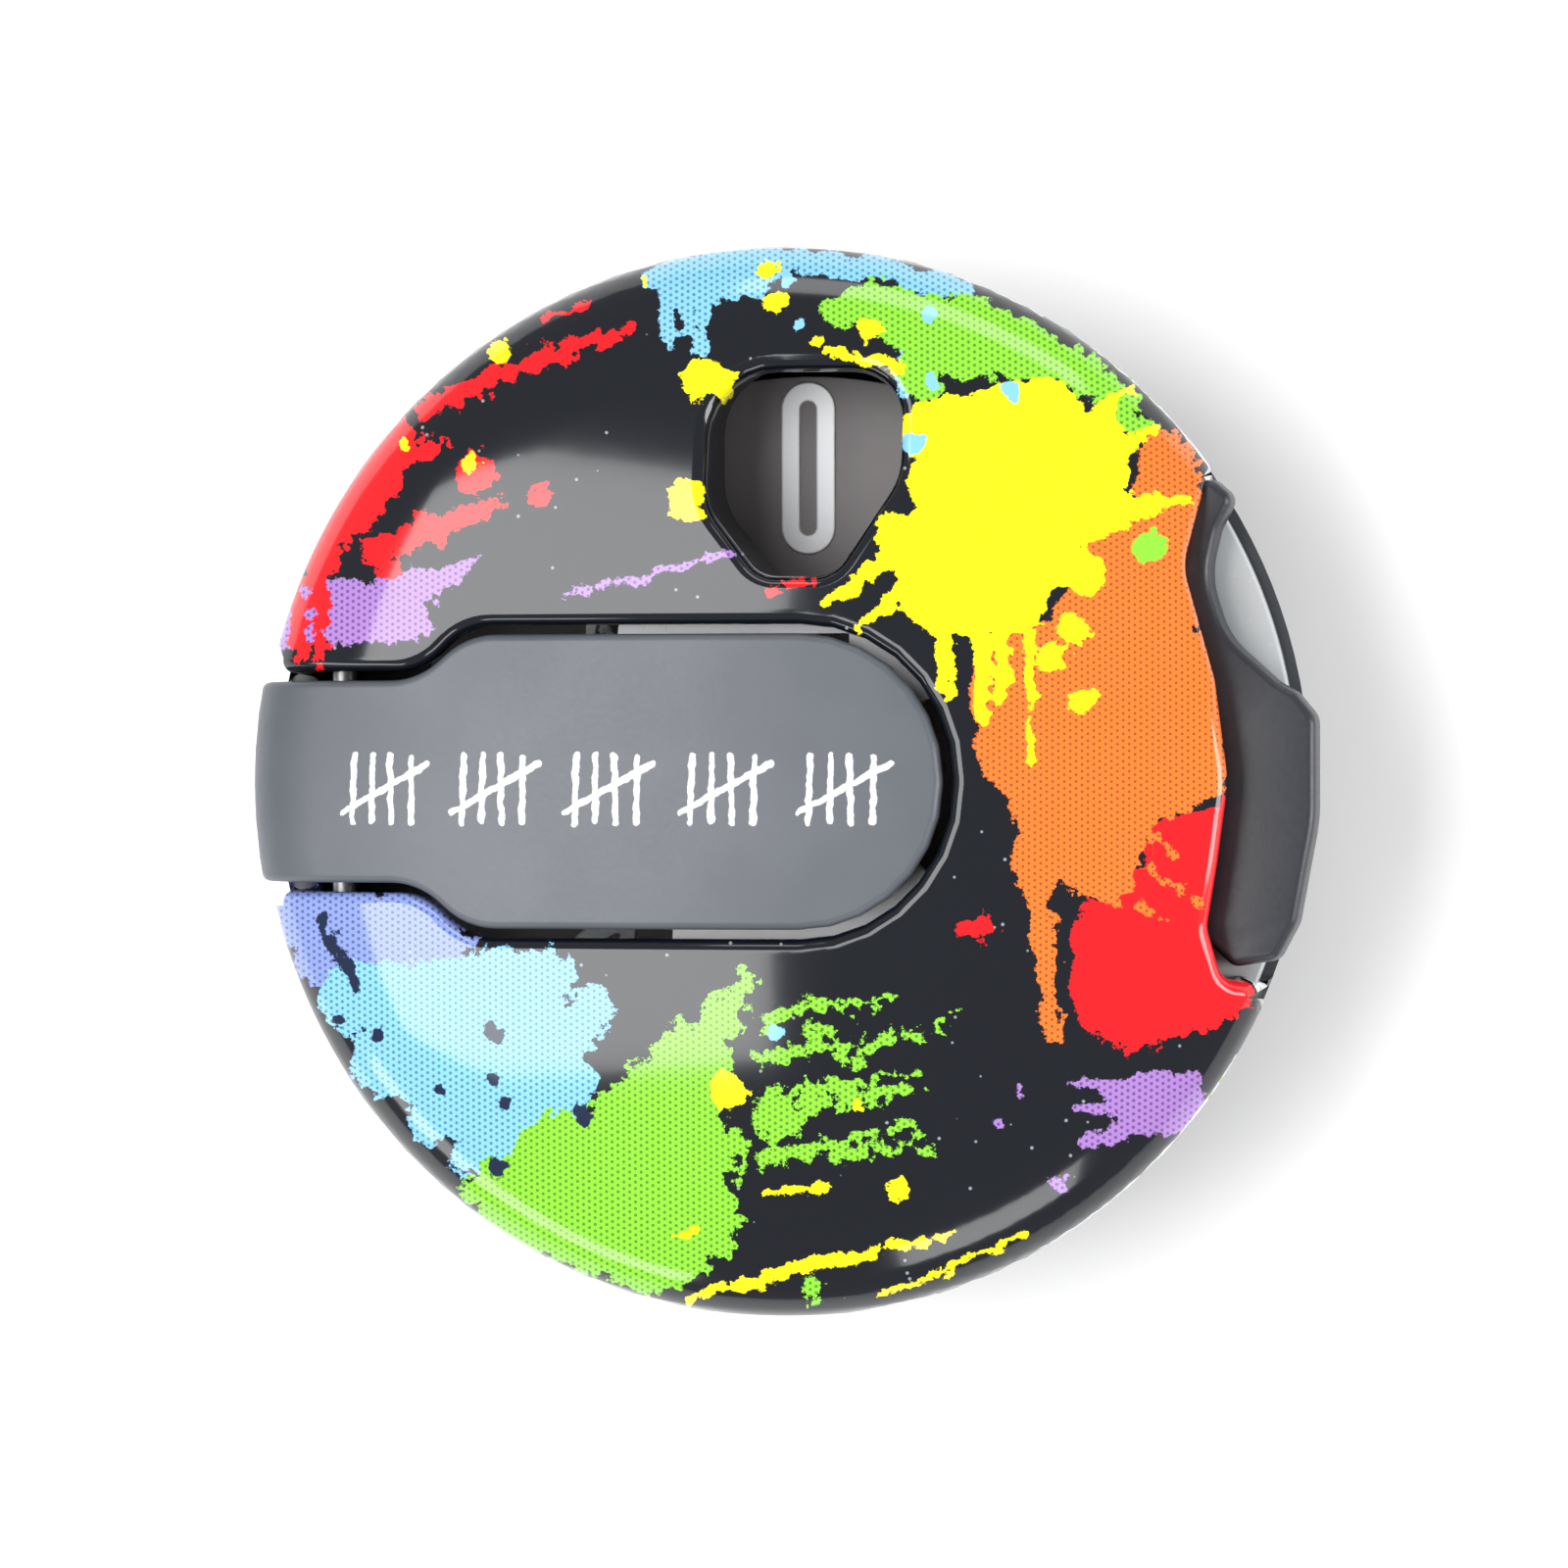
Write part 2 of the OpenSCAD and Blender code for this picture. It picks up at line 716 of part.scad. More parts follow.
// Slot that lets the slide travel along its stud
module stud_slot(x) {
    half = stud_r + run_gap;
    translate([0, 0, slide_z - 1]) {
        translate([x, stud_y, 0])
            cylinder(r = half, h = 3);
        translate([x - slide_travel, stud_y, 0])
            cylinder(r = half, h = 3);
        translate([x - slide_travel, stud_y - half, 0])
            cube([slide_travel, 2 * half, 3]);
    }
}

module drive_pawl() {
    color("silver")
        difference() {
            plate([[drive_pin.x - 0.85, drive_pin.y + 0.85, 0.8],
                   [drive_pin.x - 0.85, drive_pin.y - 0.85, 0.8],
                   [-3.2, drive_pin.y - 0.85, 0.4],
                   [-1.8, ratchet_tip_r + 0.1, 0.5], [-0.75, ratchet_tip_r + 0.1, 0],
                   [-0.7, ratchet_tip_r + 0.5, 0], [-3.2, drive_pin.y + 0.35, 0.8]],
                  pawl_z, pawl_t);
            translate([drive_pin.x, drive_pin.y, 0])
                cylinder(r = drive_pin_r + run_gap, h = total_h);
        }
}

module drive_pawl_pin() {
    color("silver")
        translate([drive_pin.x, drive_pin.y, pawl_z])
            cylinder(r = drive_pin_r, h = slide_z + slide_t - pawl_z);
}

// ---- Holding pawl -----------------------------------------------------------------

module holding_pawl() {
    color("silver")
        difference() {
            plate([[pawl_nose.x, pawl_nose.y + 0.15, 0], [pawl_nose.x + 0.25, pawl_nose.y - 0.55, 0],
                   [pawl_pin.x - 1.6, pawl_pin.y - 0.7, 1], [pawl_pin.x + 0.9, pawl_pin.y - 0.9, 0.8],
                   [pawl_pin.x + 0.9, pawl_pin.y + 0.5, 0.6],
                   [pawl_tail.x + 0.2, pawl_tail.y, 0.3], [pawl_tail.x - 0.5, pawl_tail.y, 0.2],
                   [pawl_pin.x - 0.7, pawl_pin.y + 1.1, 0.5]],
                  pawl_z, pawl_t);
            translate([pawl_pin.x, pawl_pin.y, 0])
                cylinder(r = pawl_pin_r + run_gap, h = total_h);
        }
}

module holding_pawl_pin() {
    color("silver")
        translate([pawl_pin.x, pawl_pin.y, pawl_z])
            cylinder(r = pawl_pin_r, h = bridge_top_z - pawl_z);
}

// ---- Reset lever ------------------------------------------------------------------

function lever_outline() =
    let (p = lever_pivot, e = case_r)
    [[p.x - 1.4, p.y + 1.5, 1.3], [p.x - 1.3, p.y - 1.6, 1.2], [e - 5, 4.6, 2],
     [e - 4.1, 0, 3], [e - 4.2, -5.6, 1], [e - 2.8, -6.85, 0.5], [e - 1.2, -6.6, 0.6],
     [pad_x - 0.7, -5.2, 1], [pad_x, -1.4, 6], [pad_x, 2.4, 0.8], [e - 0.5, 3.3, 0.5],
     [e - 1.2, 3.7, 1.5], [e - 3.1, 5.4, 3], [e - 3.8, 7.6, 3], [e - 3.4, 9.3, 1],
     [e - 2.8, 10.5, 0.5], [e - 3.6, 11.2, 0.5], [p.x, p.y + 1.8, 1]];

module reset_lever() {
    color([0.25, 0.26, 0.28])
        difference() {
            union() {
                plate(lever_outline(), lever_z, lever_t);
                // Finger that pushes the holding pawl's tail
                plate([[pawl_tail.x + 0.3, finger_y[0], 0.3], [case_r - 3.6, finger_y[0] - 0.6, 0],
                       [case_r - 3.6, finger_y[1] + 0.6, 0], [pawl_tail.x + 0.3, finger_y[1], 0.3]],
                      lever_z, finger_t);
            }
            translate([lever_pivot.x, lever_pivot.y, 0])
                cylinder(r = lever_pin_r + run_gap, h = total_h);
        }
}

module lever_pivot_pin() {
    color("silver")
        translate([lever_pivot.x, lever_pivot.y, floor_z])
            cylinder(r = lever_pin_r, h = lever_z + lever_t - 0.05 - floor_z);
}

// ---- Springs ----------------------------------------------------------------------

// Wire swept along points: one ring of sides round each point
function frame_u(d) = unit(cross(d, abs(d.z) < 0.9 ? [0, 0, 1] : [1, 0, 0]));

function wire_rings(path, r, sides) =
    let (n = len(path))
    [for (i = [0:n - 1])
        let (d = unit(path[min(i + 1, n - 1)] - path[max(i - 1, 0)]),
             u = frame_u(d), v = cross(d, u))
        for (k = [0:sides - 1])
            path[i] + r * (cos(360 * k / sides) * u + sin(360 * k / sides) * v)];

module wire(path, r, sides = 6) {
    n = len(path);
    polyhedron(
        points = wire_rings(path, r, sides),
        faces = concat(
            [[for (k = [0:sides - 1]) k]],
            [for (i = [0:n - 2]) for (k = [0:sides - 1])
                let (a = i * sides + k, b = i * sides + (k + 1) % sides)
                each [[a, a + sides, b + sides], [a, b + sides, b]]],
            [[for (k = [sides - 1:-1:0]) (n - 1) * sides + k]]),
        convexity = 6);
}

// Helix about Z from z0 to z1
function helix(r, z0, z1, turns, start = 0, steps = 12) =
    [for (i = [0:turns * steps])
        let (a = start + 360 * i / steps)
        [r * cos(a), r * sin(a), z0 + (z1 - z0) * i / (turns * steps)]];

module tongue_return_spring() {
    color("silver")
        translate([hinge_x, 0, hinge_z])
            rotate([90, 0, 0])
                wire(concat([[-1, -1.5, -2.1], [-0.95, -0.7, -2.05]],
                            helix(0.82, -2, 2, 6.5, 180),
                            [[0.95, 0.6, 2.05], [1.6, 1.3, 2.1]]), 0.14);
}

module lever_return_spring() {
    color("silver")
        translate([lever_pivot.x, lever_pivot.y, 0])
            wire(helix(0.85, lever_post_z + 0.25, lever_z - 0.3, 4), 0.16);
}

module holding_pawl_spring() {
    color("silver")
        translate([pawl_pin.x, pawl_pin.y, 0])
            wire(helix(0.8, pawl_z + pawl_t + 0.2, bridge_z - 0.2, 2), 0.1);
}

module slide_return_spring() {
    color("silver")
        translate([slide_x[1] + 0.2, 4.8, slide_z - 0.02])
            rotate([0, 90, 0])
                wire(helix(0.45, 0, 8.2 - slide_x[1] - 0.2, 6), 0.1);
}

module clip_spring() {
    color("silver")
        translate([0, clip_hinge.x, clip_hinge.y])
            rotate([0, 90, 0])
                wire(helix(1.02, -1.7, 1.7, 6), 0.18);
}

// ---- Clip -------------------------------------------------------------------------

module glove_clip() {
    ear_gap = 0.2;
    color([0.14, 0.15, 0.17])
        difference() {
            union() {
                plate([[-clip_half, -17, 4], [clip_half, -17, 4],
                       [clip_half - 0.5, 16.5, 5], [-clip_half + 0.5, 16.5, 5]], 0, clip_t);
                rod_x(clip_barrel_r, clip_hinge.x, clip_hinge.y,
                      -clip_ear_x[0] + ear_gap, clip_ear_x[0] - ear_gap);
                translate([-clip_ear_x[0] + ear_gap, clip_hinge.x - clip_barrel_r, clip_t / 2])
                    cube([2 * (clip_ear_x[0] - ear_gap), 2 * clip_barrel_r,
                          clip_hinge.y - clip_t / 2]);
                translate([-clip_half + 2, jaw_y[0], clip_t / 2])
                    cube([2 * clip_half - 4, jaw_y[1] - jaw_y[0],
                          back_z - pad_gap - pad_t - clip_t / 2]);
            }
            rod_x(clip_bore_r, clip_hinge.x, clip_hinge.y, -clip_half - 1, clip_half + 1);
            translate([-coil_window_x, clip_hinge.x - 1.75, -1])
                cube([2 * coil_window_x, 3.5, total_h]);
            for (x = [-clip_half - 1, clip_ear_x[0] - ear_gap])
                translate([x, clip_hinge.x - 2, -1])
                    cube([clip_half + 1 - clip_ear_x[0] + ear_gap, 4, total_h]);
        }
}

module clip_pad() {
    color([0.2, 0.2, 0.2])
        plate([[-clip_half + 2, jaw_y[0], 0.4], [clip_half - 2, jaw_y[0], 0.4],
               [clip_half - 2, jaw_y[1], 0.4], [-clip_half + 2, jaw_y[1], 0.4]],
              back_z - pad_gap - pad_t + seat_gap, pad_t - seat_gap);
}

module clip_hinge_pin() {
    color("silver")
        rod_x(clip_pin_r, clip_hinge.x, clip_hinge.y, -clip_ear_x[1], clip_ear_x[1]);
}

// ---- Assembly ---------------------------------------------------------------------

front_shell();
rear_case();
case_screws();
wheel_axle();
thrust_washer();
number_wheel();
wheel_bush();
ratchet_wheel();
return_spring();
mechanism_bridge();
bridge_screws();
slide_studs();
count_tongue();
tongue_hinge_pin();
tongue_return_spring();
drive_slide();
drive_pawl();
drive_pawl_pin();
slide_return_spring();
holding_pawl();
holding_pawl_pin();
holding_pawl_spring();
reset_lever();
lever_pivot_pin();
lever_return_spring();
glove_clip();
clip_pad();
clip_hinge_pin();
clip_spring();
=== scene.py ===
"""Looks of a round clip-on tally counter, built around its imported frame.

Lengths inside the script are millimetres; meshes are turned into metres as they are finished.
"""

import logging
import math
from collections.abc import Callable, Sequence
from dataclasses import dataclass, field
from enum import Enum

import bpy
import numpy as np
from mathutils import Matrix, Vector
from mathutils.geometry import delaunay_2d_cdt


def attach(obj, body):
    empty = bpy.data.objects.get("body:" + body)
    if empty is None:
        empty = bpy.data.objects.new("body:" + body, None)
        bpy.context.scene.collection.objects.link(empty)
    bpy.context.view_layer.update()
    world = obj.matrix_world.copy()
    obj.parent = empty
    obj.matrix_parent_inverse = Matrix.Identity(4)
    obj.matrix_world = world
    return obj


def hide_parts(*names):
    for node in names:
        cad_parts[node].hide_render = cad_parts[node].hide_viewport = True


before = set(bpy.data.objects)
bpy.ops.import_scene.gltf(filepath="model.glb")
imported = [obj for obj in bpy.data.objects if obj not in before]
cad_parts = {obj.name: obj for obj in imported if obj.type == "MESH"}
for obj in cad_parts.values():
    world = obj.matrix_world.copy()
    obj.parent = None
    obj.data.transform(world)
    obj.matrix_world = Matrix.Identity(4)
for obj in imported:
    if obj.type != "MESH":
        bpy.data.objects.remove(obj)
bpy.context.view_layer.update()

MM = 0.001
logging.basicConfig(level=logging.INFO, format="%(message)s")
log = logging.getLogger("tally_counter")

Point = tuple[float, float]
Corner = tuple[float, float, float]
Place = tuple[float, float, float]
Colour = tuple[float, float, float, float]
Outline = list[Point]
Socket = bpy.types.NodeSocket


class Body(str, Enum):
    """Bodies of the frame that pieces ride on."""

    CASE = "case"
    TONGUE = "tongue"
    WHEEL = "wheel"
    LEVER = "lever"
    CLIP = "clip"


class Slot(str, Enum):
    """Material slots of the record."""

    SHELL = "printed_shell"
    BLACK_ABS = "black_abs"
    TONGUE = "tongue_plastic"
    LEVER = "lever_plastic"
    WHEEL = "wheel_plastic"
    STEEL = "plated_steel"
    RUBBER = "pad_rubber"


# ---- Outlines ------------------------------------------------------------------------


def rounded(corners: Sequence[Corner], steps: int = 7) -> Outline:
    """Outline through (x, y, radius) corners.

    Args:
        corners: corner points in order, each with the radius that rounds it.
        steps: segments in each rounded corner.
    Returns:
        The closed outline as a list of (x, y).
    """
    points = []
    count = len(corners)
    for i, (x, y, radius) in enumerate(corners):
        here = Vector((x, y))
        before = Vector(corners[i - 1][:2]) - here
        after = Vector(corners[(i + 1) % count][:2]) - here
        u, w = before.normalized(), after.normalized()
        half = math.acos(max(-1.0, min(1.0, u.dot(w)))) / 2
        if radius == 0 or abs(half - math.pi / 2) < 1e-4:
            points.append((x, y))
            continue
        reach = min(radius / math.tan(half), 0.49 * before.length, 0.49 * after.length)
        arc_r = reach * math.tan(half)
        centre = here + (u + w).normalized() * arc_r / math.sin(half)
        first, last = here + u * reach - centre, here + w * reach - centre
        start = math.atan2(first.y, first.x)
        sweep = math.atan2(last.y, last.x) - start
        sweep = (sweep + math.pi) % (2 * math.pi) - math.pi
        for k in range(steps + 1):
            a = start + sweep * k / steps
            points.append((centre.x + arc_r * math.cos(a), centre.y + arc_r * math.sin(a)))
    return points


def dense(points: Outline, step: float, closed: bool = False) -> Outline:
    """Adds points to a polyline.

    Args:
        points: the polyline.
        step: the widest gap left between two points.
        closed: whether the last point joins the first.
    Returns:
        The polyline with its new points.
    """
    result = []
    ends = points[1:] + points[:1] if closed else points[1:]
    for (x0, y0), (x1, y1) in zip(points, ends):
        n = max(1, math.ceil(math.hypot(x1 - x0, y1 - y0) / step))
        result += [(x0 + (x1 - x0) * k / n, y0 + (y1 - y0) * k / n) for k in range(n)]
    return result if closed else result + [points[-1]]


def arc(radius: float, start: float, end: float, step: float = 2.0,
        centre: Point = (0, 0)) -> Outline:
    """Points along an arc.

    Args:
        radius: radius of the arc.
        start: first angle in degrees.
        end: last angle in degrees.
        step: the widest angle between two points.
        centre: centre of the arc.
    Returns:
        The points, with both ends.
    """
    n = max(1, math.ceil(abs(end - start) / step))
    angles = [math.radians(start + (end - start) * k / n) for k in range(n + 1)]
    return [(centre[0] + radius * math.cos(a), centre[1] + radius * math.sin(a)) for a in angles]


def tongue_corners(gap: float) -> list[Corner]:
    """Corners of the tongue in plan.

    Args:
        gap: how far they move outwards, which is more than 0 for the slot.
    Returns:
        The corners with their radii.
    """
    neck, head = 3.8 + gap, 5.5 + gap
    return [(-23, -neck, 0), (-13.2 + gap / 2, -neck, 3), (-11.2 - gap / 2, -head, 3),
            (7 + gap, -head, head - 0.05), (7 + gap, head, head - 0.05),
            (-11.2 - gap / 2, head, 3), (-13.2 + gap / 2, neck, 3), (-23, neck, 0)]


def window_corners(grow: float) -> list[Corner]:
    """Corners of the display window in plan.

    Args:
        grow: how far they move outwards.
    Returns:
        The corners with their radii.
    """
    return [(-2.05 - grow, 15.4 + grow, 3.55 + grow), (-2.05 - grow, 10.3 - grow / 2, 2.6 + grow),
            (0.1 - grow / 2, 7.6 - grow, 1.35 + grow), (2.9 + grow / 2, 7.6 - grow, 1.35 + grow),
            (5.25 + grow, 11.3 - grow / 2, 2.6 + grow), (5.25 + grow, 15.4 + grow, 3.55 + grow)]


NOTCH = [(22, 12.3, 0), (16.5, 11.6, 0.6), (15.7, 8, 2.5), (16.9, 3.8, 3), (17.4, 0, 5),
         (17, -3, 4), (16.6, -5.4, 1.2), (17.1, -7.4, 0.8), (22, -8.3, 0)]
LEVER = [(13.8, 10.6, 1.3), (13.9, 7.5, 1.2), (15, 4.6, 2), (15.9, 0, 3), (15.8, -5.6, 1),
         (17.2, -6.85, 0.5), (18.8, -6.6, 0.6), (19.55, -5.2, 1), (20.25, -1.4, 6),
         (20.25, 2.4, 0.8), (19.5, 3.3, 0.5), (18.8, 3.7, 1.5), (16.9, 5.4, 3), (16.2, 7.6, 3),
         (16.6, 9.3, 1), (17.2, 10.5, 0.5), (16.4, 11.2, 0.5), (15.2, 10.9, 1)]
FINGER = [(8.6, -2.2), (16.4, -2.8), (16.4, -0.3), (8.6, -0.9)]
# Seen from the side, as (x, z)
HINGE_RIB = [(-18, 9.2, 1), (-17, 8.2, 1), (-16, 9.0, 1), (-13.9, 12.2, 0.3), (-17.6, 11.6, 0.3)]
HINGE_BORE = arc(0.5, 0, 345, 15, (-17, 9.2))
WEDGE = [(-0.9, 10.7), (0, 10.7), (2.4, 12.7), (2.4, 14.0), (-0.9, 14.0)]


# ---- Domed surface -------------------------------------------------------------------

CROWN_STEPS = 80
SHOULDER_STEPS = 48
SIDE_STEPS = 4
PATH_STEP = 0.35


@dataclass
class Dome:
    """Surface of revolution with a round crown, a curved shoulder and a short side."""

    top: float
    bend_r: float
    side_r: float
    foot_r: float
    foot_z: float
    crown: float = 60.0
    side_z: float = 10.0
    arcs: np.ndarray = field(init=False)
    radii: np.ndarray = field(init=False)
    heights: np.ndarray = field(init=False)

    def __post_init__(self) -> None:
        """Works out the profile from the crown down to the foot."""

        def crown_z(r: float) -> float:
            """Height of the crown at a radius."""
            return self.top - self.crown + math.sqrt(self.crown ** 2 - r * r)

        bend_z = crown_z(self.bend_r)
        fall = self.bend_r / math.sqrt(self.crown ** 2 - self.bend_r ** 2)
        turn_z = max(bend_z - fall * (self.side_r - self.bend_r), self.side_z + 0.2)
        reach = [self.bend_r * i / CROWN_STEPS for i in range(CROWN_STEPS)]
        points = [(r, crown_z(r)) for r in reach]
        for i in range(SHOULDER_STEPS + 1):
            t = i / SHOULDER_STEPS
            a, b, c = (1 - t) ** 2, 2 * t * (1 - t), t * t
            points.append((a * self.bend_r + b * self.side_r + c * self.side_r,
                           a * bend_z + b * turn_z + c * self.side_z))
        for i in range(1, SIDE_STEPS + 1):
            t = i / SIDE_STEPS
            points.append((self.side_r + (self.foot_r - self.side_r) * t,
                           self.side_z + (self.foot_z - self.side_z) * t))
        points.append((self.foot_r, self.foot_z - 2))
        self.radii = np.array([p[0] for p in points])
        self.heights = np.array([p[1] for p in points])
        steps = np.hypot(np.diff(self.radii), np.diff(self.heights))
        self.arcs = np.concatenate([[0], np.cumsum(steps)])

    @property
    def foot(self) -> float:
        """Arc length from the crown to the foot of the side."""
        return self.arcs[-2]

    def unroll(self, point: Point) -> Point:
        """Unrolls a point onto a flat sheet.

        Args:
            point: the point in plan.
        Returns:
            Its unrolled place.
        """
        r = math.hypot(*point)
        if r < 1e-6:
            return (0.0, 0.0)
        rim = np.searchsorted(self.radii, self.side_r - 1e-9)
        q = float(np.interp(r, self.radii[:rim + 1], self.arcs[:rim + 1]))
        return (point[0] * q / r, point[1] * q / r)

    def bay(self, points: Outline, edge: float) -> Outline:
        """An open path that runs in from the unrolled edge and out again.

        Args:
            points: the path in plan, which starts and ends outside the side.
            edge: unrolled radius of the plate's edge.
        Returns:
            The unrolled path, with both ends on the edge.
        """
        inside = [p for p in dense(points, PATH_STEP) if math.hypot(*p) < self.side_r - 0.02]
        path = [self.unroll(p) for p in inside]

        def out(point: Point) -> Outline:
            """Points straight out to the edge."""
            q = math.hypot(*point)
            n = max(2, math.ceil((edge - q) / 0.4))
            return [(point[0] * (q + (edge - q) * k / n) / q,
                     point[1] * (q + (edge - q) * k / n) / q) for k in range(1, n + 1)]

        return out(path[0])[::-1] + path + out(path[-1])

    def wrap(self, mesh: bpy.types.Mesh, thickness: float) -> None:
        """Bends a flat plate onto the surface, with its outer face on it.

        Args:
            mesh: the plate, centred on z 0.
            thickness: the plate's thickness.
        """
        n = len(mesh.vertices)
        flat, facing = np.empty(n * 3), np.empty(n * 3, dtype=np.float32)
        mesh.vertices.foreach_get("co", flat)
        mesh.attributes["facing"].data.foreach_get("vector", facing)
        x, y, z = flat.reshape(-1, 3).T
        nx, ny, nz = facing.reshape(-1, 3).T
        q = np.maximum(np.hypot(x, y), 1e-6)
        ca, sa = x / q, y / q
        slope_r = np.gradient(self.radii, self.arcs)
        slope_z = np.gradient(self.heights, self.arcs)
        r, h = np.interp(q, self.arcs, self.radii), np.interp(q, self.arcs, self.heights)
        tr, tz = np.interp(q, self.arcs, slope_r), np.interp(q, self.arcs, slope_z)
        size = np.hypot(tr, tz)
        tr, tz = tr / size, tz / size
        off = z - thickness / 2
        radius, height = r - tz * off, np.maximum(h + tr * off, self.foot_z)
        place = np.stack([radius * ca, radius * sa, height], axis=1) * MM
        along, around = nx * ca + ny * sa, ny * ca - nx * sa
        out = along * tr - nz * tz
        normal = np.stack([out * ca - around * sa, out * sa + around * ca,
                           along * tz + nz * tr], axis=1)
        mesh.vertices.foreach_set("co", place.ravel())
        mesh.polygons.foreach_set("use_smooth", [True] * len(mesh.polygons))
        mesh.attributes.remove(mesh.attributes["facing"])
        mesh.update()
        mesh.normals_split_custom_set_from_vertices(normal.tolist())


SHELL_DOME = Dome(top=15.3, bend_r=15.0, side_r=20.0, foot_r=19.7, foot_z=8.4)
TONGUE_DOME = Dome(top=15.18, bend_r=17.5, side_r=20.25, foot_r=20.25, foot_z=8.5)


# ---- Mesh helpers --------------------------------------------------------------------


def alone(obj: bpy.types.Object) -> None:
    """Makes obj the only selected and the active object."""
    bpy.ops.object.select_all(action="DESELECT")
    obj.select_set(True)
    bpy.context.view_layer.objects.active = obj


def edit(obj: bpy.types.Object, *steps: Callable[[], object]) -> None:
    """Runs edit-mode steps, each with everything selected.

    Args:
        obj: the object to edit.
        steps: the steps in order.
    """
    alone(obj)
    bpy.ops.object.mode_set(mode="EDIT")
    for step in steps:
        bpy.ops.mesh.select_all(action="SELECT")
        step()
    bpy.ops.object.mode_set(mode="OBJECT")


def inside(x: np.ndarray, y: np.ndarray, loop: Outline) -> np.ndarray:
    """Tells which points lie inside a closed loop.

    Args:
        x: the points' first coordinates.
        y: the points' second coordinates.
        loop: the loop.
    Returns:
        Mask of the points inside.
    """
    hit = np.zeros(len(x), dtype=bool)
    for (x0, y0), (x1, y1) in zip(loop, loop[1:] + loop[:1]):
        if y0 != y1:
            hit ^= ((y0 > y) != (y1 > y)) & (x < x0 + (y - y0) * (x1 - x0) / (y1 - y0))
    return hit


def in_face(x: np.ndarray, y: np.ndarray, rims: list[Outline]) -> np.ndarray:
    """Tells which points lie on a face.

    Args:
        x: the points' first coordinates.
        y: the points' second coordinates.
        rims: the face's outer rim and then its holes.
    Returns:
        Mask of the points on the face.
    """
    mask = inside(x, y, rims[0])
    for rim in rims[1:]:
        mask &= ~inside(x, y, rim)
    return mask


def tidied(loop: Outline, hole: bool, gap: float = 0.07) -> Outline:
    """Takes out points that nearly touch and sets which way round a loop runs.

    Args:
        loop: the loop.
        hole: clockwise if True, and anticlockwise if not.
        gap: the least distance kept between two points.
    Returns:
        The new loop.
    """
    kept = []
    for point in loop:
        if not kept or math.dist(point, kept[-1]) > gap:
            kept.append(point)
    while math.dist(kept[0], kept[-1]) < gap:
        kept.pop()
    area = sum(a[0] * b[1] - b[0] * a[1] for a, b in zip(kept, kept[1:] + kept[:1]))
    return kept[::-1] if (area > 0) == hole else kept


def outward(loop: Outline) -> tuple[np.ndarray, np.ndarray]:
    """Which way a loop's points face.

    Args:
        loop: the loop.
    Returns:
        The points' unit normals, and how far each moves per unit of inset.
    """
    points = np.array(loop)
    ahead = np.roll(points, -1, axis=0) - points
    ahead /= np.linalg.norm(ahead, axis=1)[:, None]
    back = np.roll(ahead, 1, axis=0)
    mean = ahead + back
    mean /= np.linalg.norm(mean, axis=1)[:, None]
    reach = 1 / np.maximum(np.abs((mean * ahead).sum(axis=1)), 0.5)
    return np.stack([mean[:, 1], -mean[:, 0]], axis=1), reach


def rolled_edge(thickness: float, bevel: float, steps: int) -> list[tuple[float, ...]]:
    """Cross-section of a plate's edge, from its lower face to its upper one.

    Args:
        thickness: height from face to face.
        bevel: radius of the rolled edges.
        steps: segments across each rolled edge.
    Returns:
        For each level its inset, its height, and its normal's outward and upward parts.
    """
    turns = [math.pi / 2 * k / steps for k in range(steps + 1)]
    upper = [(bevel * (1 - math.cos(a)), thickness / 2 - bevel + bevel * math.sin(a),
              math.cos(a), math.sin(a)) for a in turns]
    return [(inset, -z, flat, -rise) for inset, z, flat, rise in upper[::-1]] + upper


def face_grid(rims: list[Outline], pitch: float, reach: float = 26.0) -> Outline:
    """Staggered points that keep clear of a face's rims.

    Args:
        rims: the face's outer rim and then its holes.
        pitch: spacing of the points.
        reach: half the width of the square that the grid covers.
    Returns:
        The points on the face.
    """
    span = np.arange(-reach, reach, pitch)
    x, y = (axis.ravel() for axis in np.meshgrid(span, span))
    x = x + np.where(np.round(y / pitch).astype(int) % 2, pitch / 2, 0.0)
    nearest = np.min([np.hypot(x - u, y - v) for rim in rims for u, v in rim], axis=0)
    keep = (nearest > pitch * 0.45) & in_face(x, y, rims)
    return list(zip(x[keep].tolist(), y[keep].tolist()))


def face_triangles(rims: list[Outline], points: Outline) -> list[tuple[int, ...]]:
    """Triangles that fill a face.

    Args:
        rims: the face's outer rim and then its holes.
        points: the rims' points in order, and then those inside the face.
    Returns:
        Indices into points, three for each triangle.
    """
    edges, base = [], 0
    for rim in rims:
        edges += [(base + i, base + (i + 1) % len(rim)) for i in range(len(rim))]
        base += len(rim)
    found, _, triangles, origin, _, _ = delaunay_2d_cdt(
        [Vector(p) for p in points], edges, [], 0, 1e-5)
    centre = np.array([[sum(found[i][axis] for i in t) / 3 for axis in (0, 1)]
                       for t in triangles])
    spots = np.array(points)
    source = [ids[0] if ids else int(np.argmin(np.hypot(*(spots - tuple(v)[:2]).T)))
              for ids, v in zip(origin, found)]
    keep = in_face(centre[:, 0], centre[:, 1], rims)
    corners = [tuple(source[i] for i in t) for t, ok in zip(triangles, keep) if ok]
    return [c for c in corners if len(set(c)) == 3]


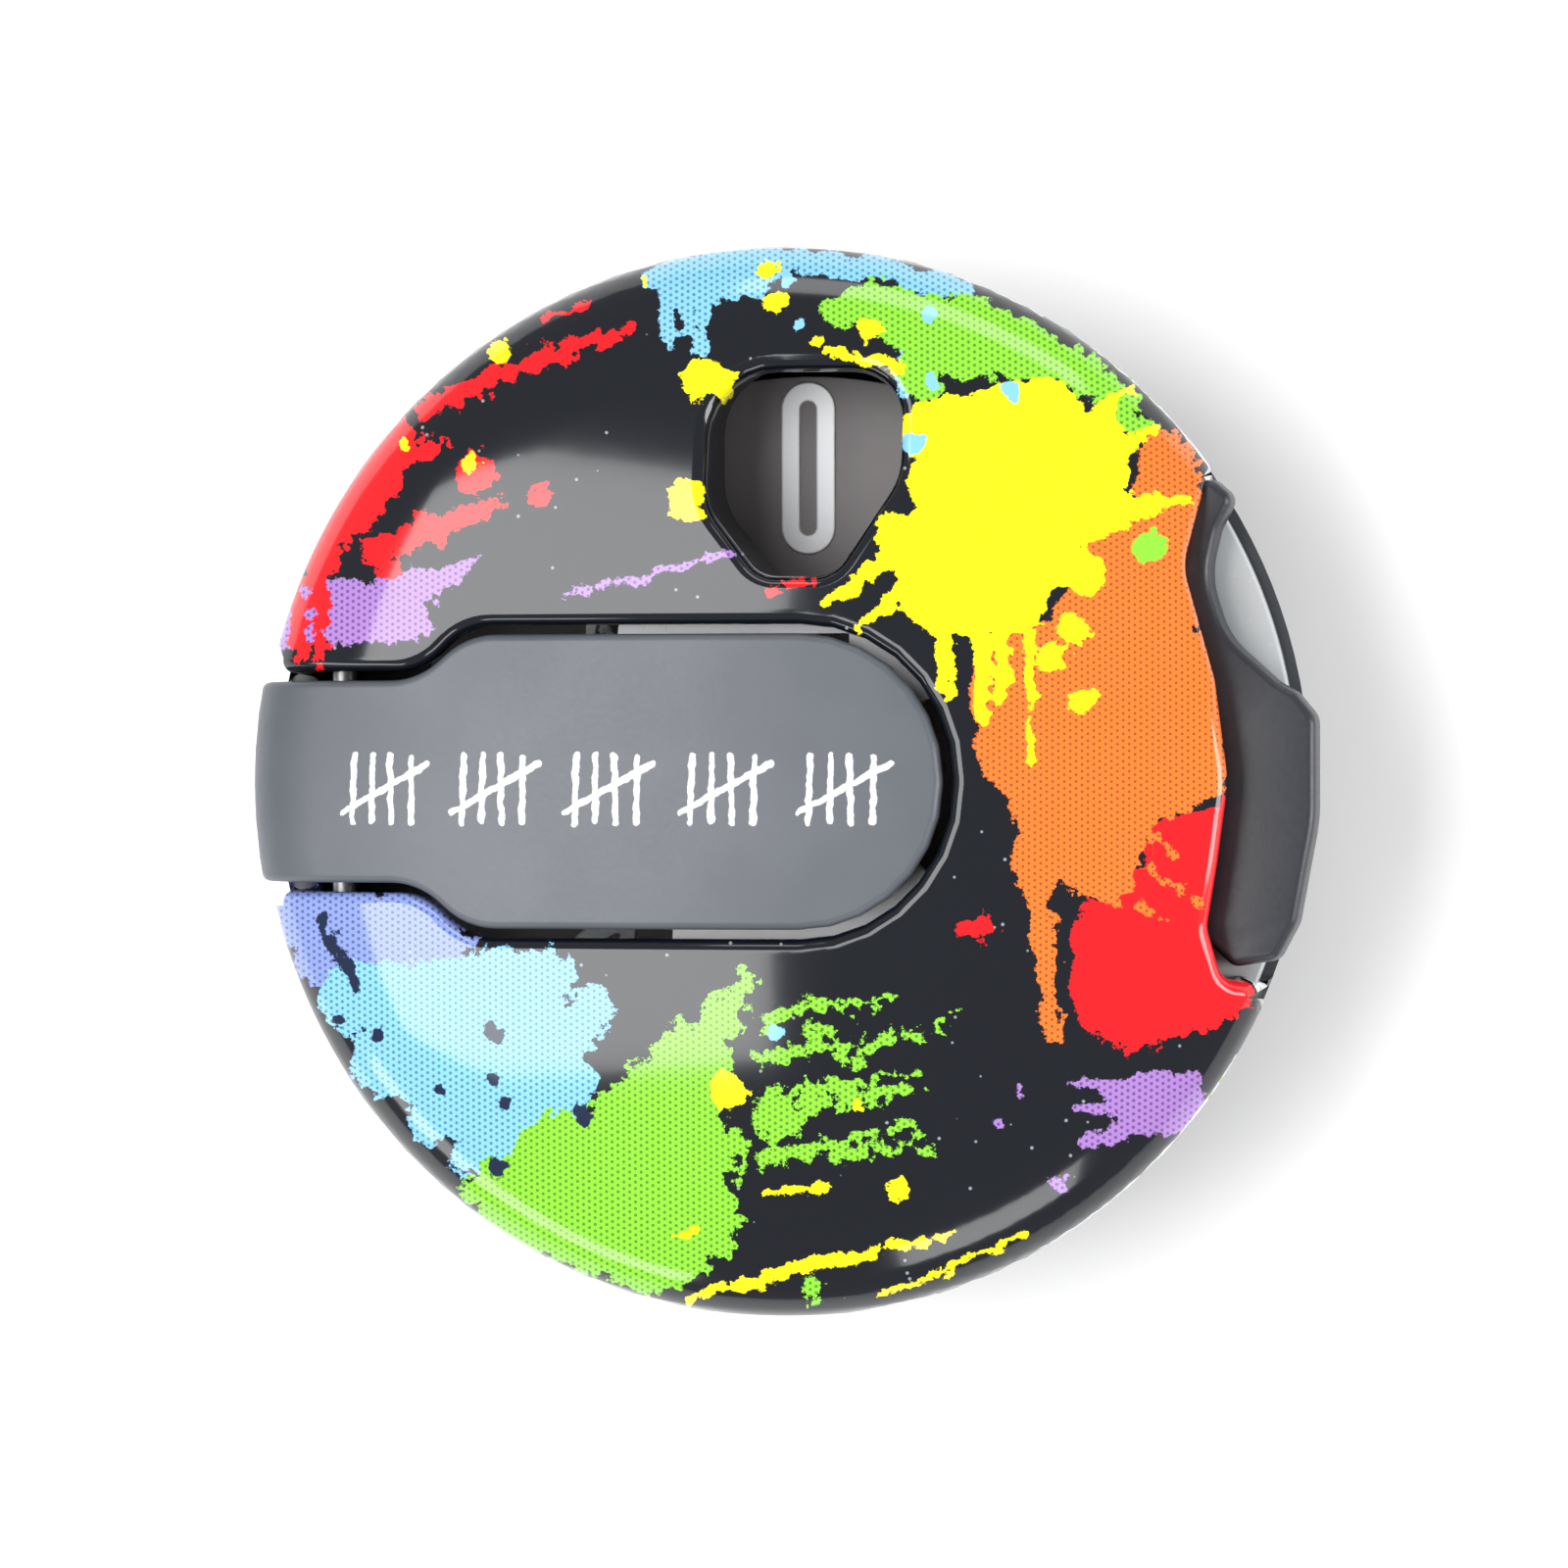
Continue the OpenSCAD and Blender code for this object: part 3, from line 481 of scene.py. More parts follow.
def plate(name: str, loops: list[Outline], thickness: float, bevel: float, steps: int = 3,
          pitch: float | None = None) -> bpy.types.Object:
    """A flat plate with rolled edges, centred on z 0, in millimetres.

    Args:
        name: name of the new object.
        loops: outlines, the outer one first and then any holes.
        thickness: height from face to face.
        bevel: radius of the rolled edges.
        steps: segments across each rolled edge.
        pitch: spacing of the points inside its faces, if it is to be bent.
    Returns:
        The new mesh object, whose points carry their normals as "facing".
    """
    levels = rolled_edge(thickness, bevel, steps)
    top = len(levels) - 1
    places, facing, faces, caps = [], [], [], []
    for loop in [tidied(loop, k > 0) for k, loop in enumerate(loops)]:
        normals, reach = outward(loop)
        n, first = len(loop), len(places)
        for inset, z, flat, rise in levels:
            moved = np.array(loop) - normals * (reach * inset)[:, None]
            places += [(x, y, z) for x, y in moved]
            facing += [(u * flat, v * flat, rise) for u, v in normals]
        for k in range(top):
            a, b = first + k * n, first + (k + 1) * n
            faces += [(a + i, a + (i + 1) % n, b + (i + 1) % n, b + i) for i in range(n)]
        caps.append((first, n))
    rims = [[places[first + top * n + i][:2] for i in range(n)] for first, n in caps]
    points = [p for rim in rims for p in rim]
    grid = face_grid(rims, pitch) if pitch else []
    triangles = face_triangles(rims, points + grid)
    for level, side in ((top, 1), (0, -1)):
        index = [first + level * n + i for first, n in caps for i in range(n)]
        index += range(len(places), len(places) + len(grid))
        places += [(x, y, side * thickness / 2) for x, y in grid]
        facing += [(0.0, 0.0, float(side))] * len(grid)
        faces += [tuple(index[i] for i in t)[::side] for t in triangles]
    mesh = bpy.data.meshes.new(name)
    mesh.from_pydata(places, [], faces)
    mesh.attributes.new("facing", "FLOAT_VECTOR", "POINT").data.foreach_set(
        "vector", np.array(facing, dtype=np.float32).ravel())
    obj = bpy.data.objects.new(name, mesh)
    bpy.context.collection.objects.link(obj)
    return obj


def in_metres(obj: bpy.types.Object, move: Sequence[float] = (0, 0, 0),
              turn: Matrix | None = None) -> None:
    """Places a mesh and turns its millimetres into metres.

    Args:
        obj: the object.
        move: how far it moves, in millimetres.
        turn: how it is turned before it moves.
    """
    place = Matrix.Translation(Vector(move)) @ (turn or Matrix.Identity(4))
    obj.data.transform(Matrix.Scale(MM, 4) @ place)


def smooth(obj: bpy.types.Object, degrees: float = 35) -> None:
    """Shades obj smooth except over edges sharper than degrees."""
    alone(obj)
    bpy.ops.object.shade_smooth_by_angle(angle=math.radians(degrees))


def merge(name: str, objects: list[bpy.types.Object]) -> bpy.types.Object:
    """Joins objects into one.

    Args:
        name: the joined object's name.
        objects: the objects, of which the first takes in the others.
    Returns:
        The joined object.
    """
    bpy.ops.object.select_all(action="DESELECT")
    for obj in objects:
        obj.select_set(True)
    bpy.context.view_layer.objects.active = objects[0]
    bpy.ops.object.join()
    objects[0].name = name
    return objects[0]


def softened(node: str, name: str, width: float, segments: int = 2,
             angle: float = 32) -> bpy.types.Object:
    """A copy of a CAD node with its edges rounded.

    Args:
        node: the CAD node's name.
        name: name of the new object.
        width: width of the rounding in millimetres.
        segments: segments across the rounding.
        angle: the least edge angle, in degrees, that is rounded.
    Returns:
        The new mesh object, in metres.
    """
    source = bpy.data.objects[node]
    obj = bpy.data.objects.new(name, source.data.copy())
    bpy.context.collection.objects.link(obj)
    obj.data.transform(source.matrix_world)
    obj.data.materials.clear()
    edit(obj, lambda: bpy.ops.mesh.customdata_custom_splitnormals_clear(),
         lambda: bpy.ops.mesh.remove_doubles(threshold=1e-6),
         lambda: bpy.ops.mesh.dissolve_limited(angle_limit=math.radians(1.5)),
         lambda: bpy.ops.mesh.normals_make_consistent(inside=False))
    bevel = obj.modifiers.new("rounding", "BEVEL")
    bevel.width, bevel.segments, bevel.limit_method = width * MM, segments, "ANGLE"
    bevel.angle_limit, bevel.use_clamp_overlap = math.radians(angle), True
    alone(obj)
    bpy.ops.object.modifier_apply(modifier="rounding")
    smooth(obj, 40)
    return obj


# ---- Materials -----------------------------------------------------------------------


def linear(red: float, green: float, blue: float) -> Colour:
    """Linear colour of screen values from 0 to 255."""

    def channel(value: float) -> float:
        """Linear value of one channel."""
        c = value / 255
        return c / 12.92 if c <= 0.04045 else ((c + 0.055) / 1.055) ** 2.4

    return (channel(red), channel(green), channel(blue), 1.0)


class Graph:
    """Short calls that add nodes to a node tree."""

    def __init__(self, tree: bpy.types.NodeTree) -> None:
        """Keeps the tree that the nodes go into."""
        self.tree = tree

    def add(self, kind: str, **settings: object) -> bpy.types.Node:
        """A new node of that kind with its settings applied."""
        node = self.tree.nodes.new(kind)
        for key, value in settings.items():
            setattr(node, key, value)
        return node

    def feed(self, node: bpy.types.Node, *values: object) -> bpy.types.Node:
        """Gives a node's inputs their links or values, in order, and skips None."""
        for socket, value in zip(node.inputs, values):
            if value is None:
                continue
            if isinstance(value, bpy.types.NodeSocket):
                self.tree.links.new(value, socket)
            else:
                socket.default_value = value
        return node

    def math(self, operation: str, *values: object) -> Socket:
        """Result of a Math node."""
        return self.feed(self.add("ShaderNodeMath", operation=operation), *values).outputs[0]

    def vector(self, operation: str, *values: object) -> Socket:
        """Result of a Vector Math node, which is a number for a dot product or a length."""
        node = self.feed(self.add("ShaderNodeVectorMath", operation=operation), *values)
        return node.outputs["Value" if operation in ("DOT_PRODUCT", "LENGTH") else "Vector"]

    def scaled(self, vector: Socket, factor: object) -> Socket:
        """A vector times a number or a socket's value."""
        node = self.feed(self.add("ShaderNodeVectorMath", operation="SCALE"), vector)
        socket = node.inputs["Scale"]
        if isinstance(factor, bpy.types.NodeSocket):
            self.tree.links.new(factor, socket)
        else:
            socket.default_value = factor
        return node.outputs["Vector"]

    def blend(self, factor: object, first: object, second: object) -> Socket:
        """Mix of two colours."""
        node = self.add("ShaderNodeMix", data_type="RGBA")
        for socket, value in zip((node.inputs[0], node.inputs[6], node.inputs[7]),
                                 (factor, first, second)):
            if isinstance(value, bpy.types.NodeSocket):
                self.tree.links.new(value, socket)
            else:
                socket.default_value = value
        return node.outputs[2]

    def noise(self, vector: Socket, scale: float, detail: float = 2.0, rough: float = 0.5,
              colour: bool = False) -> Socket:
        """Noise as one value, or as three if colour is set."""
        node = self.add("ShaderNodeTexNoise")
        self.tree.links.new(vector, node.inputs["Vector"])
        node.inputs["Scale"].default_value = scale
        node.inputs["Detail"].default_value = detail
        node.inputs["Roughness"].default_value = rough
        return node.outputs[1 if colour else 0]

    def step(self, value: Socket, low: float, high: float) -> Socket:
        """0 below low, 1 above high, and smooth between."""
        node = self.add("ShaderNodeMapRange", interpolation_type="SMOOTHSTEP")
        self.feed(node, value, low, high, 0.0, 1.0)
        return node.outputs[0]

    def group(self, tree: bpy.types.NodeTree, *values: object) -> bpy.types.NodeOutputs:
        """Outputs of a node group that is given those values."""
        node = self.add("ShaderNodeGroup", node_tree=tree)
        return self.feed(node, *values).outputs

    def axes(self, vector: Socket) -> bpy.types.NodeOutputs:
        """The three coordinates of a vector."""
        return self.feed(self.add("ShaderNodeSeparateXYZ"), vector).outputs

    def relief(self, principled: bpy.types.Node, height: Socket, strength: float,
               depth: float) -> None:
        """Gives a surface a bump.

        Args:
            principled: the surface's shader.
            height: where the surface stands up.
            strength: how much of the bump shows.
            depth: its depth in metres.
        """
        bump = self.add("ShaderNodeBump")
        bump.inputs["Strength"].default_value = strength
        bump.inputs["Distance"].default_value = depth
        self.tree.links.new(height, bump.inputs["Height"])
        self.tree.links.new(bump.outputs[0], principled.inputs["Normal"])


def new_group(name: str, inputs: list[tuple[str, str]], outputs: list[tuple[str, str]]
              ) -> tuple[bpy.types.NodeTree, Graph, bpy.types.NodeOutputs, bpy.types.Node]:
    """Makes a node group with its ends.

    Args:
        name: the group's name.
        inputs: label and kind of each input.
        outputs: label and kind of each output.
    Returns:
        The tree, its graph, the sockets it is given, and its output node.
    """
    tree = bpy.data.node_groups.new(name, "ShaderNodeTree")
    for label, kind in inputs:
        tree.interface.new_socket(label, in_out="INPUT", socket_type="NodeSocket" + kind)
    for label, kind in outputs:
        tree.interface.new_socket(label, in_out="OUTPUT", socket_type="NodeSocket" + kind)
    graph = Graph(tree)
    return tree, graph, graph.add("NodeGroupInput").outputs, graph.add("NodeGroupOutput")


def stroke_group() -> bpy.types.NodeTree:
    """Distance to a stroke whose two round ends can differ in radius."""
    tree, g, given, out = new_group(
        "stroke", [("Point", "Vector"), ("Start", "Vector"), ("Along", "Vector"),
                   ("Share", "Float"), ("Radius", "Float"), ("Growth", "Float")],
        [("Distance", "Float")])
    offset = g.vector("SUBTRACT", given[0], given[1])
    # Limits are separate nodes, as a node's own clamp is worked out too late and fills the stack
    share = g.math("MULTIPLY", g.vector("DOT_PRODUCT", offset, given[2]), given[3])
    share = g.math("MINIMUM", g.math("MAXIMUM", share, 0.0), 1.0)
    nearest = g.vector("SUBTRACT", offset, g.scaled(given[2], share))
    radius = g.math("MULTIPLY_ADD", share, given[5], given[4])
    distance = g.math("SUBTRACT", g.vector("LENGTH", nearest), radius)
    tree.links.new(distance, out.inputs[0])
    return tree


def halftone_group() -> bpy.types.NodeTree:
    """Mask of small dots on a hexagonal grid."""
    tree, g, given, out = new_group("halftone", [("Point", "Vector"), ("Pitch", "Float"),
                                                 ("Cut", "Float")], [("Mask", "Float")])
    scaled = g.scaled(given[0], g.math("DIVIDE", 7.255, given[1]))
    waves = [g.math("COSINE", g.vector("DOT_PRODUCT", scaled, way))
             for way in ((1, 0, 0), (-0.5, 0.866, 0), (-0.5, -0.866, 0))]
    height = g.math("ADD", g.math("ADD", waves[0], waves[1]), waves[2])
    edge = g.math("SUBTRACT", height, given[2])
    tree.links.new(g.step(edge, -0.25, 0.25), out.inputs[0])
    return tree


@dataclass(frozen=True)
class Finish:
    """Look of a plain moulded, machined or drawn surface."""

    name: str
    colour: Colour
    roughness: float
    metallic: float = 0.0
    grain: float = 900.0
    bump: float = 0.04
    vary: float = 0.12
    brushed: Place = (1.0, 1.0, 1.0)
    coat: float = 0.0

    def material(self) -> bpy.types.Material:
        """Builds the finish: cloudy tone, and fine grain in roughness and bump."""
        material, g, principled, place = new_material(self.name)
        stretched = g.vector("MULTIPLY", place, self.brushed)
        cloud = g.noise(place, 180.0, 3.0)
        fine = g.noise(stretched, self.grain * 4, 3.0, 0.6)
        dark = tuple(c * (1 - self.vary) for c in self.colour[:3]) + (1.0,)
        light = tuple(min(1.0, c * (1 + self.vary)) for c in self.colour[:3]) + (1.0,)
        tone = g.blend(g.step(cloud, 0.3, 0.7), dark, light)
        g.tree.links.new(tone, principled.inputs["Base Color"])
        rough = g.math("MULTIPLY_ADD", fine, 0.16, self.roughness - 0.08)
        g.tree.links.new(rough, principled.inputs["Roughness"])
        principled.inputs["Metallic"].default_value = self.metallic
        principled.inputs["Coat Weight"].default_value = self.coat
        g.relief(principled, fine, self.bump * 4, 0.00002)
        return material


def new_material(name: str
                 ) -> tuple[bpy.types.Material, Graph, bpy.types.Node, Socket]:
    """A material with a Principled BSDF, its graph, and its object-space place."""
    material = bpy.data.materials.new(name)
    material.use_nodes = True
    g = Graph(material.node_tree)
    principled = material.node_tree.nodes["Principled BSDF"]
    place = g.add("ShaderNodeTexCoord").outputs["Object"]
    return material, g, principled, place


FINISHES = {
    Slot.BLACK_ABS: Finish("black_abs_look", linear(52, 54, 58), 0.42),
    Slot.LEVER: Finish("lever_look", linear(40, 42, 48), 0.36, bump=0.05),
    Slot.WHEEL: Finish("wheel_look", linear(112, 108, 111), 0.55, vary=0.06),
    Slot.STEEL: Finish("zinc_look", (0.6, 0.6, 0.6, 1), 0.3, 1.0, brushed=(1, 0.15, 1)),
    Slot.RUBBER: Finish("rubber_look", linear(40, 40, 41), 0.8, bump=0.12, vary=0.2),
}


# ---- Print on the shell --------------------------------------------------------------


class Dots(Enum):
    """Halftone of an ink, with the height at which its dots are cut off."""

    NONE = 0.0
    LARGE = 1.0
    SMALL = 1.3


@dataclass(frozen=True)
class Ink:
    """One colour of the print.

    Strokes are (u, v, radius) for a dot or (u, v, radius, u, v, radius) for a tapered line.
    """

    colour: Colour
    strokes: tuple[tuple[float, ...], ...]
    dots: Dots = Dots.NONE
    ragged: float = 1.0


SKY, PERIWINKLE = linear(130, 196, 236), linear(132, 150, 216)
LIME, YELLOW = linear(136, 214, 56), linear(255, 243, 14)
ORANGE, RED = linear(246, 118, 44), linear(232, 20, 28)
PURPLE, NAVY, PALE = linear(164, 122, 196), linear(22, 34, 62), linear(225, 235, 245)

INKS = (
    Ink(PERIWINKLE, ((-18.3, -5.0, 1.1, -13.2, -5.4, 1.4), (-17.4, -6.6, 1.1, -12.9, -6.4, 1.2),
                     (-13.0, -5.6, 1.2, -11.8, -6.0, 0.3)), dots=Dots.LARGE),
    Ink(SKY, ((-16.2, -8.1, 1.2, -9.0, -7.6, 1.4), (-14.6, -10.2, 1.6, -9.2, -9.6, 1.8),
              (-13.0, -12.3, 1.2, -9.6, -12.0, 1.6), (-11.4, -13.8, 0.9, -9.2, -13.6, 1.0),
              (-7.8, -9.5, 1.1, -6.9, -8.2, 0.5), (-7.8, -11.0, 0.8, -7.7, -14.6, 0.3)),
        dots=Dots.LARGE),
    Ink(SKY, ((-4.8, 18.9, 0.4, -3.6, 18.7, 1.0), (-3.6, 18.7, 1.1, -0.7, 19.2, 1.0),
              (-4.2, 18.0, 0.34, -4.2, 16.4, 0.27), (-3.5, 18.0, 0.34, -3.5, 16.8, 0.27),
              (-3.0, 18.0, 0.3, -3.0, 15.9, 0.27), (-0.1, 19.4, 0.5, 3.2, 19.2, 0.5),
              (3.2, 19.2, 0.5, 6.7, 18.3, 0.5), (4.6, 18.4, 0.4, 4.6, 16.2, 0.26),
              (4.6, 16.2, 0.26, 4.6, 14.3, 0.2)), dots=Dots.LARGE, ragged=0.6),
    Ink(LIME, ((1.8, 17.4, 0.45, 3.3, 17.6, 1.0), (3.3, 17.6, 1.0, 6.3, 16.5, 1.5),
               (6.3, 16.5, 1.6, 9.0, 16.0, 1.2), (9.0, 16.0, 1.1, 11.4, 15.0, 0.7),
               (11.4, 15.0, 0.65, 13.3, 13.1, 0.5), (5.2, 15.6, 0.8, 5.3, 14.8, 0.8)),
        dots=Dots.LARGE, ragged=0.7),
    Ink(LIME, ((-9.6, -16.2, 1.6, -4.4, -12.6, 2.2), (-7.2, -17.2, 1.5, -4.0, -15.8, 2.3),
               (-4.2, -12.6, 2.2, -3.1, -10.2, 1.4), (-3.1, -10.2, 1.0, -1.3, -7.4, 0.35),
               (-5.2, -17.9, 1.4, -2.9, -16.6, 1.3), (-11.2, -15.0, 0.7, -8.0, -13.2, 1.0),
               (-3.6, -14.0, 1.6, -2.0, -13.6, 0.8), (-0.1, -12.3, 0.95),
               (-0.6, -8.75, 0.28, 4.1, -7.8, 0.1), (-0.6, -10.3, 0.3, 6.1, -8.9, 0.1),
               (0.95, -11.6, 0.25, 5.0, -10.6, 0.1), (1.1, -12.1, 0.3, 4.7, -11.2, 0.1),
               (-0.6, -14.0, 0.35, 5.1, -12.7, 0.1), (2.1, -13.9, 0.2, 4.3, -13.2, 0.1),
               (2.5, -10.2, 0.36), (1.3, -9.3, 0.36), (5.2, -13.4, 0.28), (1.1, -19.0, 0.5)),
        dots=Dots.LARGE),
    Ink(PURPLE, ((-18.4, 6.4, 1.3, -14.2, 6.2, 1.1), (-14.4, 6.9, 0.9, -11.6, 8.0, 0.25),
                 (-8.0, 6.9, 0.14, -2.1, 8.25, 0.1), (13.4, -11.9, 1.1, 14.7, -11.9, 1.2),
                 (13.4, -11.5, 0.6, 10.6, -10.9, 0.1), (13.4, -12.0, 0.5, 11.0, -12.0, 0.1),
                 (13.2, -12.6, 0.5, 11.0, -13.3, 0.1), (8.6, -11.55, 0.18), (7.9, -12.6, 0.18),
                 (10.3, -14.75, 0.22)), dots=Dots.LARGE, ragged=0.7),
    Ink(RED, ((12.6, -5.6, 1.8, 15.5, -4.2, 2.0), (13.0, -8.0, 1.9, 15.4, -7.2, 2.0),
              (15.0, -2.6, 1.6, 16.4, -1.6, 1.0), (11.6, -8.6, 0.8, 11.8, -6.0, 1.2),
              (7.05, -5.3, 0.42, 7.4, -5.3, 0.42), (-0.6, 7.2, 0.1, 1.1, 7.2, 0.12),
              (-5.9, 16.9, 0.2, -9.3, 15.7, 0.38), (-9.3, 15.7, 0.35, -13.4, 14.1, 0.4),
              (-14.6, 12.6, 1.1, -16.4, 10.4, 1.3), (-16.6, 10.2, 1.1, -17.3, 8.4, 0.7),
              (-12.6, 12.7, 0.2, -15.2, 11.8, 0.6), (-8.9, 17.3, 0.16, -7.3, 17.9, 0.16),
              (-11.5, 11.5, 0.75), (-15.1, 8.7, 0.6, -10.8, 10.3, 0.25), (-9.0, 10.5, 0.42),
              (-14.6, 7.9, 0.38), (-17.3, 8.0, 0.4, -17.3, 4.5, 0.25),
              (-18.1, 7.6, 0.4, -18.1, 4.5, 0.25)), ragged=0.8),
    Ink(ORANGE, ((14.3, 12.2, 1.0, 14.2, 9.0, 1.7), (13.4, 8.0, 2.2, 12.6, 5.0, 2.9),
                 (9.6, 3.4, 2.7, 14.0, 3.0, 2.7), (9.0, 1.1, 1.9, 14.2, 1.2, 2.3),
                 (9.7, -1.2, 1.3, 12.8, -0.5, 1.6), (9.5, -2.8, 1.1, 12.2, -2.4, 1.3),
                 (9.4, -3.4, 0.55, 9.95, -9.2, 0.3), (10.9, -3.4, 0.7, 12.1, -3.8, 0.7),
                 (14.0, -0.4, 0.9, 15.8, 0.3, 0.7), (13.2, -3.0, 0.12, 15.3, -4.4, 0.12),
                 (13.2, -1.8, 0.12, 14.3, -2.5, 0.12), (13.1, -4.6, 0.12, 14.1, -5.2, 0.1)),
        dots=Dots.SMALL, ragged=0.7),
    Ink(YELLOW, ((5.6, 12.9, 1.2, 9.4, 13.2, 1.7), (9.4, 13.1, 1.6, 11.6, 12.3, 1.2),
                 (6.3, 11.0, 1.6, 10.8, 10.7, 2.0), (5.8, 8.8, 1.6, 9.6, 8.8, 1.8),
                 (6.0, 7.0, 1.6, 8.4, 6.8, 1.3), (4.3, 9.2, 0.8, 5.4, 7.6, 1.2),
                 (12.0, 10.0, 0.8, 14.9, 10.4, 0.12), (12.0, 12.0, 0.5, 14.0, 13.2, 0.08),
                 (11.5, 13.2, 0.5, 13.0, 14.6, 0.08), (6.0, 6.0, 0.4, 6.0, 3.3, 0.25),
                 (7.4, 6.0, 0.4, 7.4, 2.4, 0.25), (8.1, 6.0, 0.4, 8.1, 3.2, 0.25),
                 (9.1, 6.0, 0.2, 9.1, 0.8, 0.12), (11.3, 7.6, 0.72), (10.7, 5.6, 0.62),
                 (9.95, 4.5, 0.58), (11.0, 3.0, 0.52), (3.9, 8.2, 0.4, 1.6, 6.5, 0.14),
                 (4.7, 7.2, 0.4, 2.9, 5.7, 0.14), (1.7, 15.9, 0.25, 4.3, 15.4, 0.3),
                 (3.3, 16.7, 0.36), (1.3, 16.3, 0.18), (-0.2, 17.8, 0.45), (-0.5, 19.0, 0.38),
                 (-2.9, 14.85, 0.8, -2.2, 14.8, 0.5), (-3.5, 10.5, 0.78), (-10.6, 16.1, 0.38),
                 (-14.2, 12.7, 0.26), (-11.6, 11.8, 0.38), (-5.0, 18.8, 0.18),
                 (-1.95, -11.4, 0.68), (4.3, -15.1, 0.4), (2.9, -11.9, 0.18),
                 (-0.6, -15.3, 0.1, 1.6, -14.95, 0.2), (-3.4, -19.3, 0.2, -0.6, -18.4, 0.3),
                 (-0.6, -18.4, 0.3, 6.4, -16.65, 0.12), (3.7, -19.1, 0.1, 8.9, -16.85, 0.12),
                 (-3.9, -16.9, 0.1, -3.1, -16.7, 0.14)), ragged=0.55),
    Ink(SKY, ((4.9, 12.5, 0.45), (8.5, 14.45, 0.32), (5.6, 17.3, 0.33), (5.6, 14.85, 0.28),
              (0.3, 18.6, 0.28), (0.7, 16.9, 0.18), (-0.2, -9.2, 0.28)), ragged=0.4),
    Ink(LIME, ((13.5, 8.6, 0.6),), ragged=0.4),
    Ink(NAVY, ((-17.2, -5.2, 0.2, -15.9, -7.8, 0.2), (-10.7, -9.3, 0.3), (-12.7, -11.5, 0.24),
               (-15.1, -9.5, 0.24), (-16.6, -8.9, 0.18), (-10.7, -11.1, 0.24),
               (-10.25, -11.9, 0.24), (-10.5, -14.3, 0.42), (-7.4, -12.3, 0.33)), ragged=0.5),
)


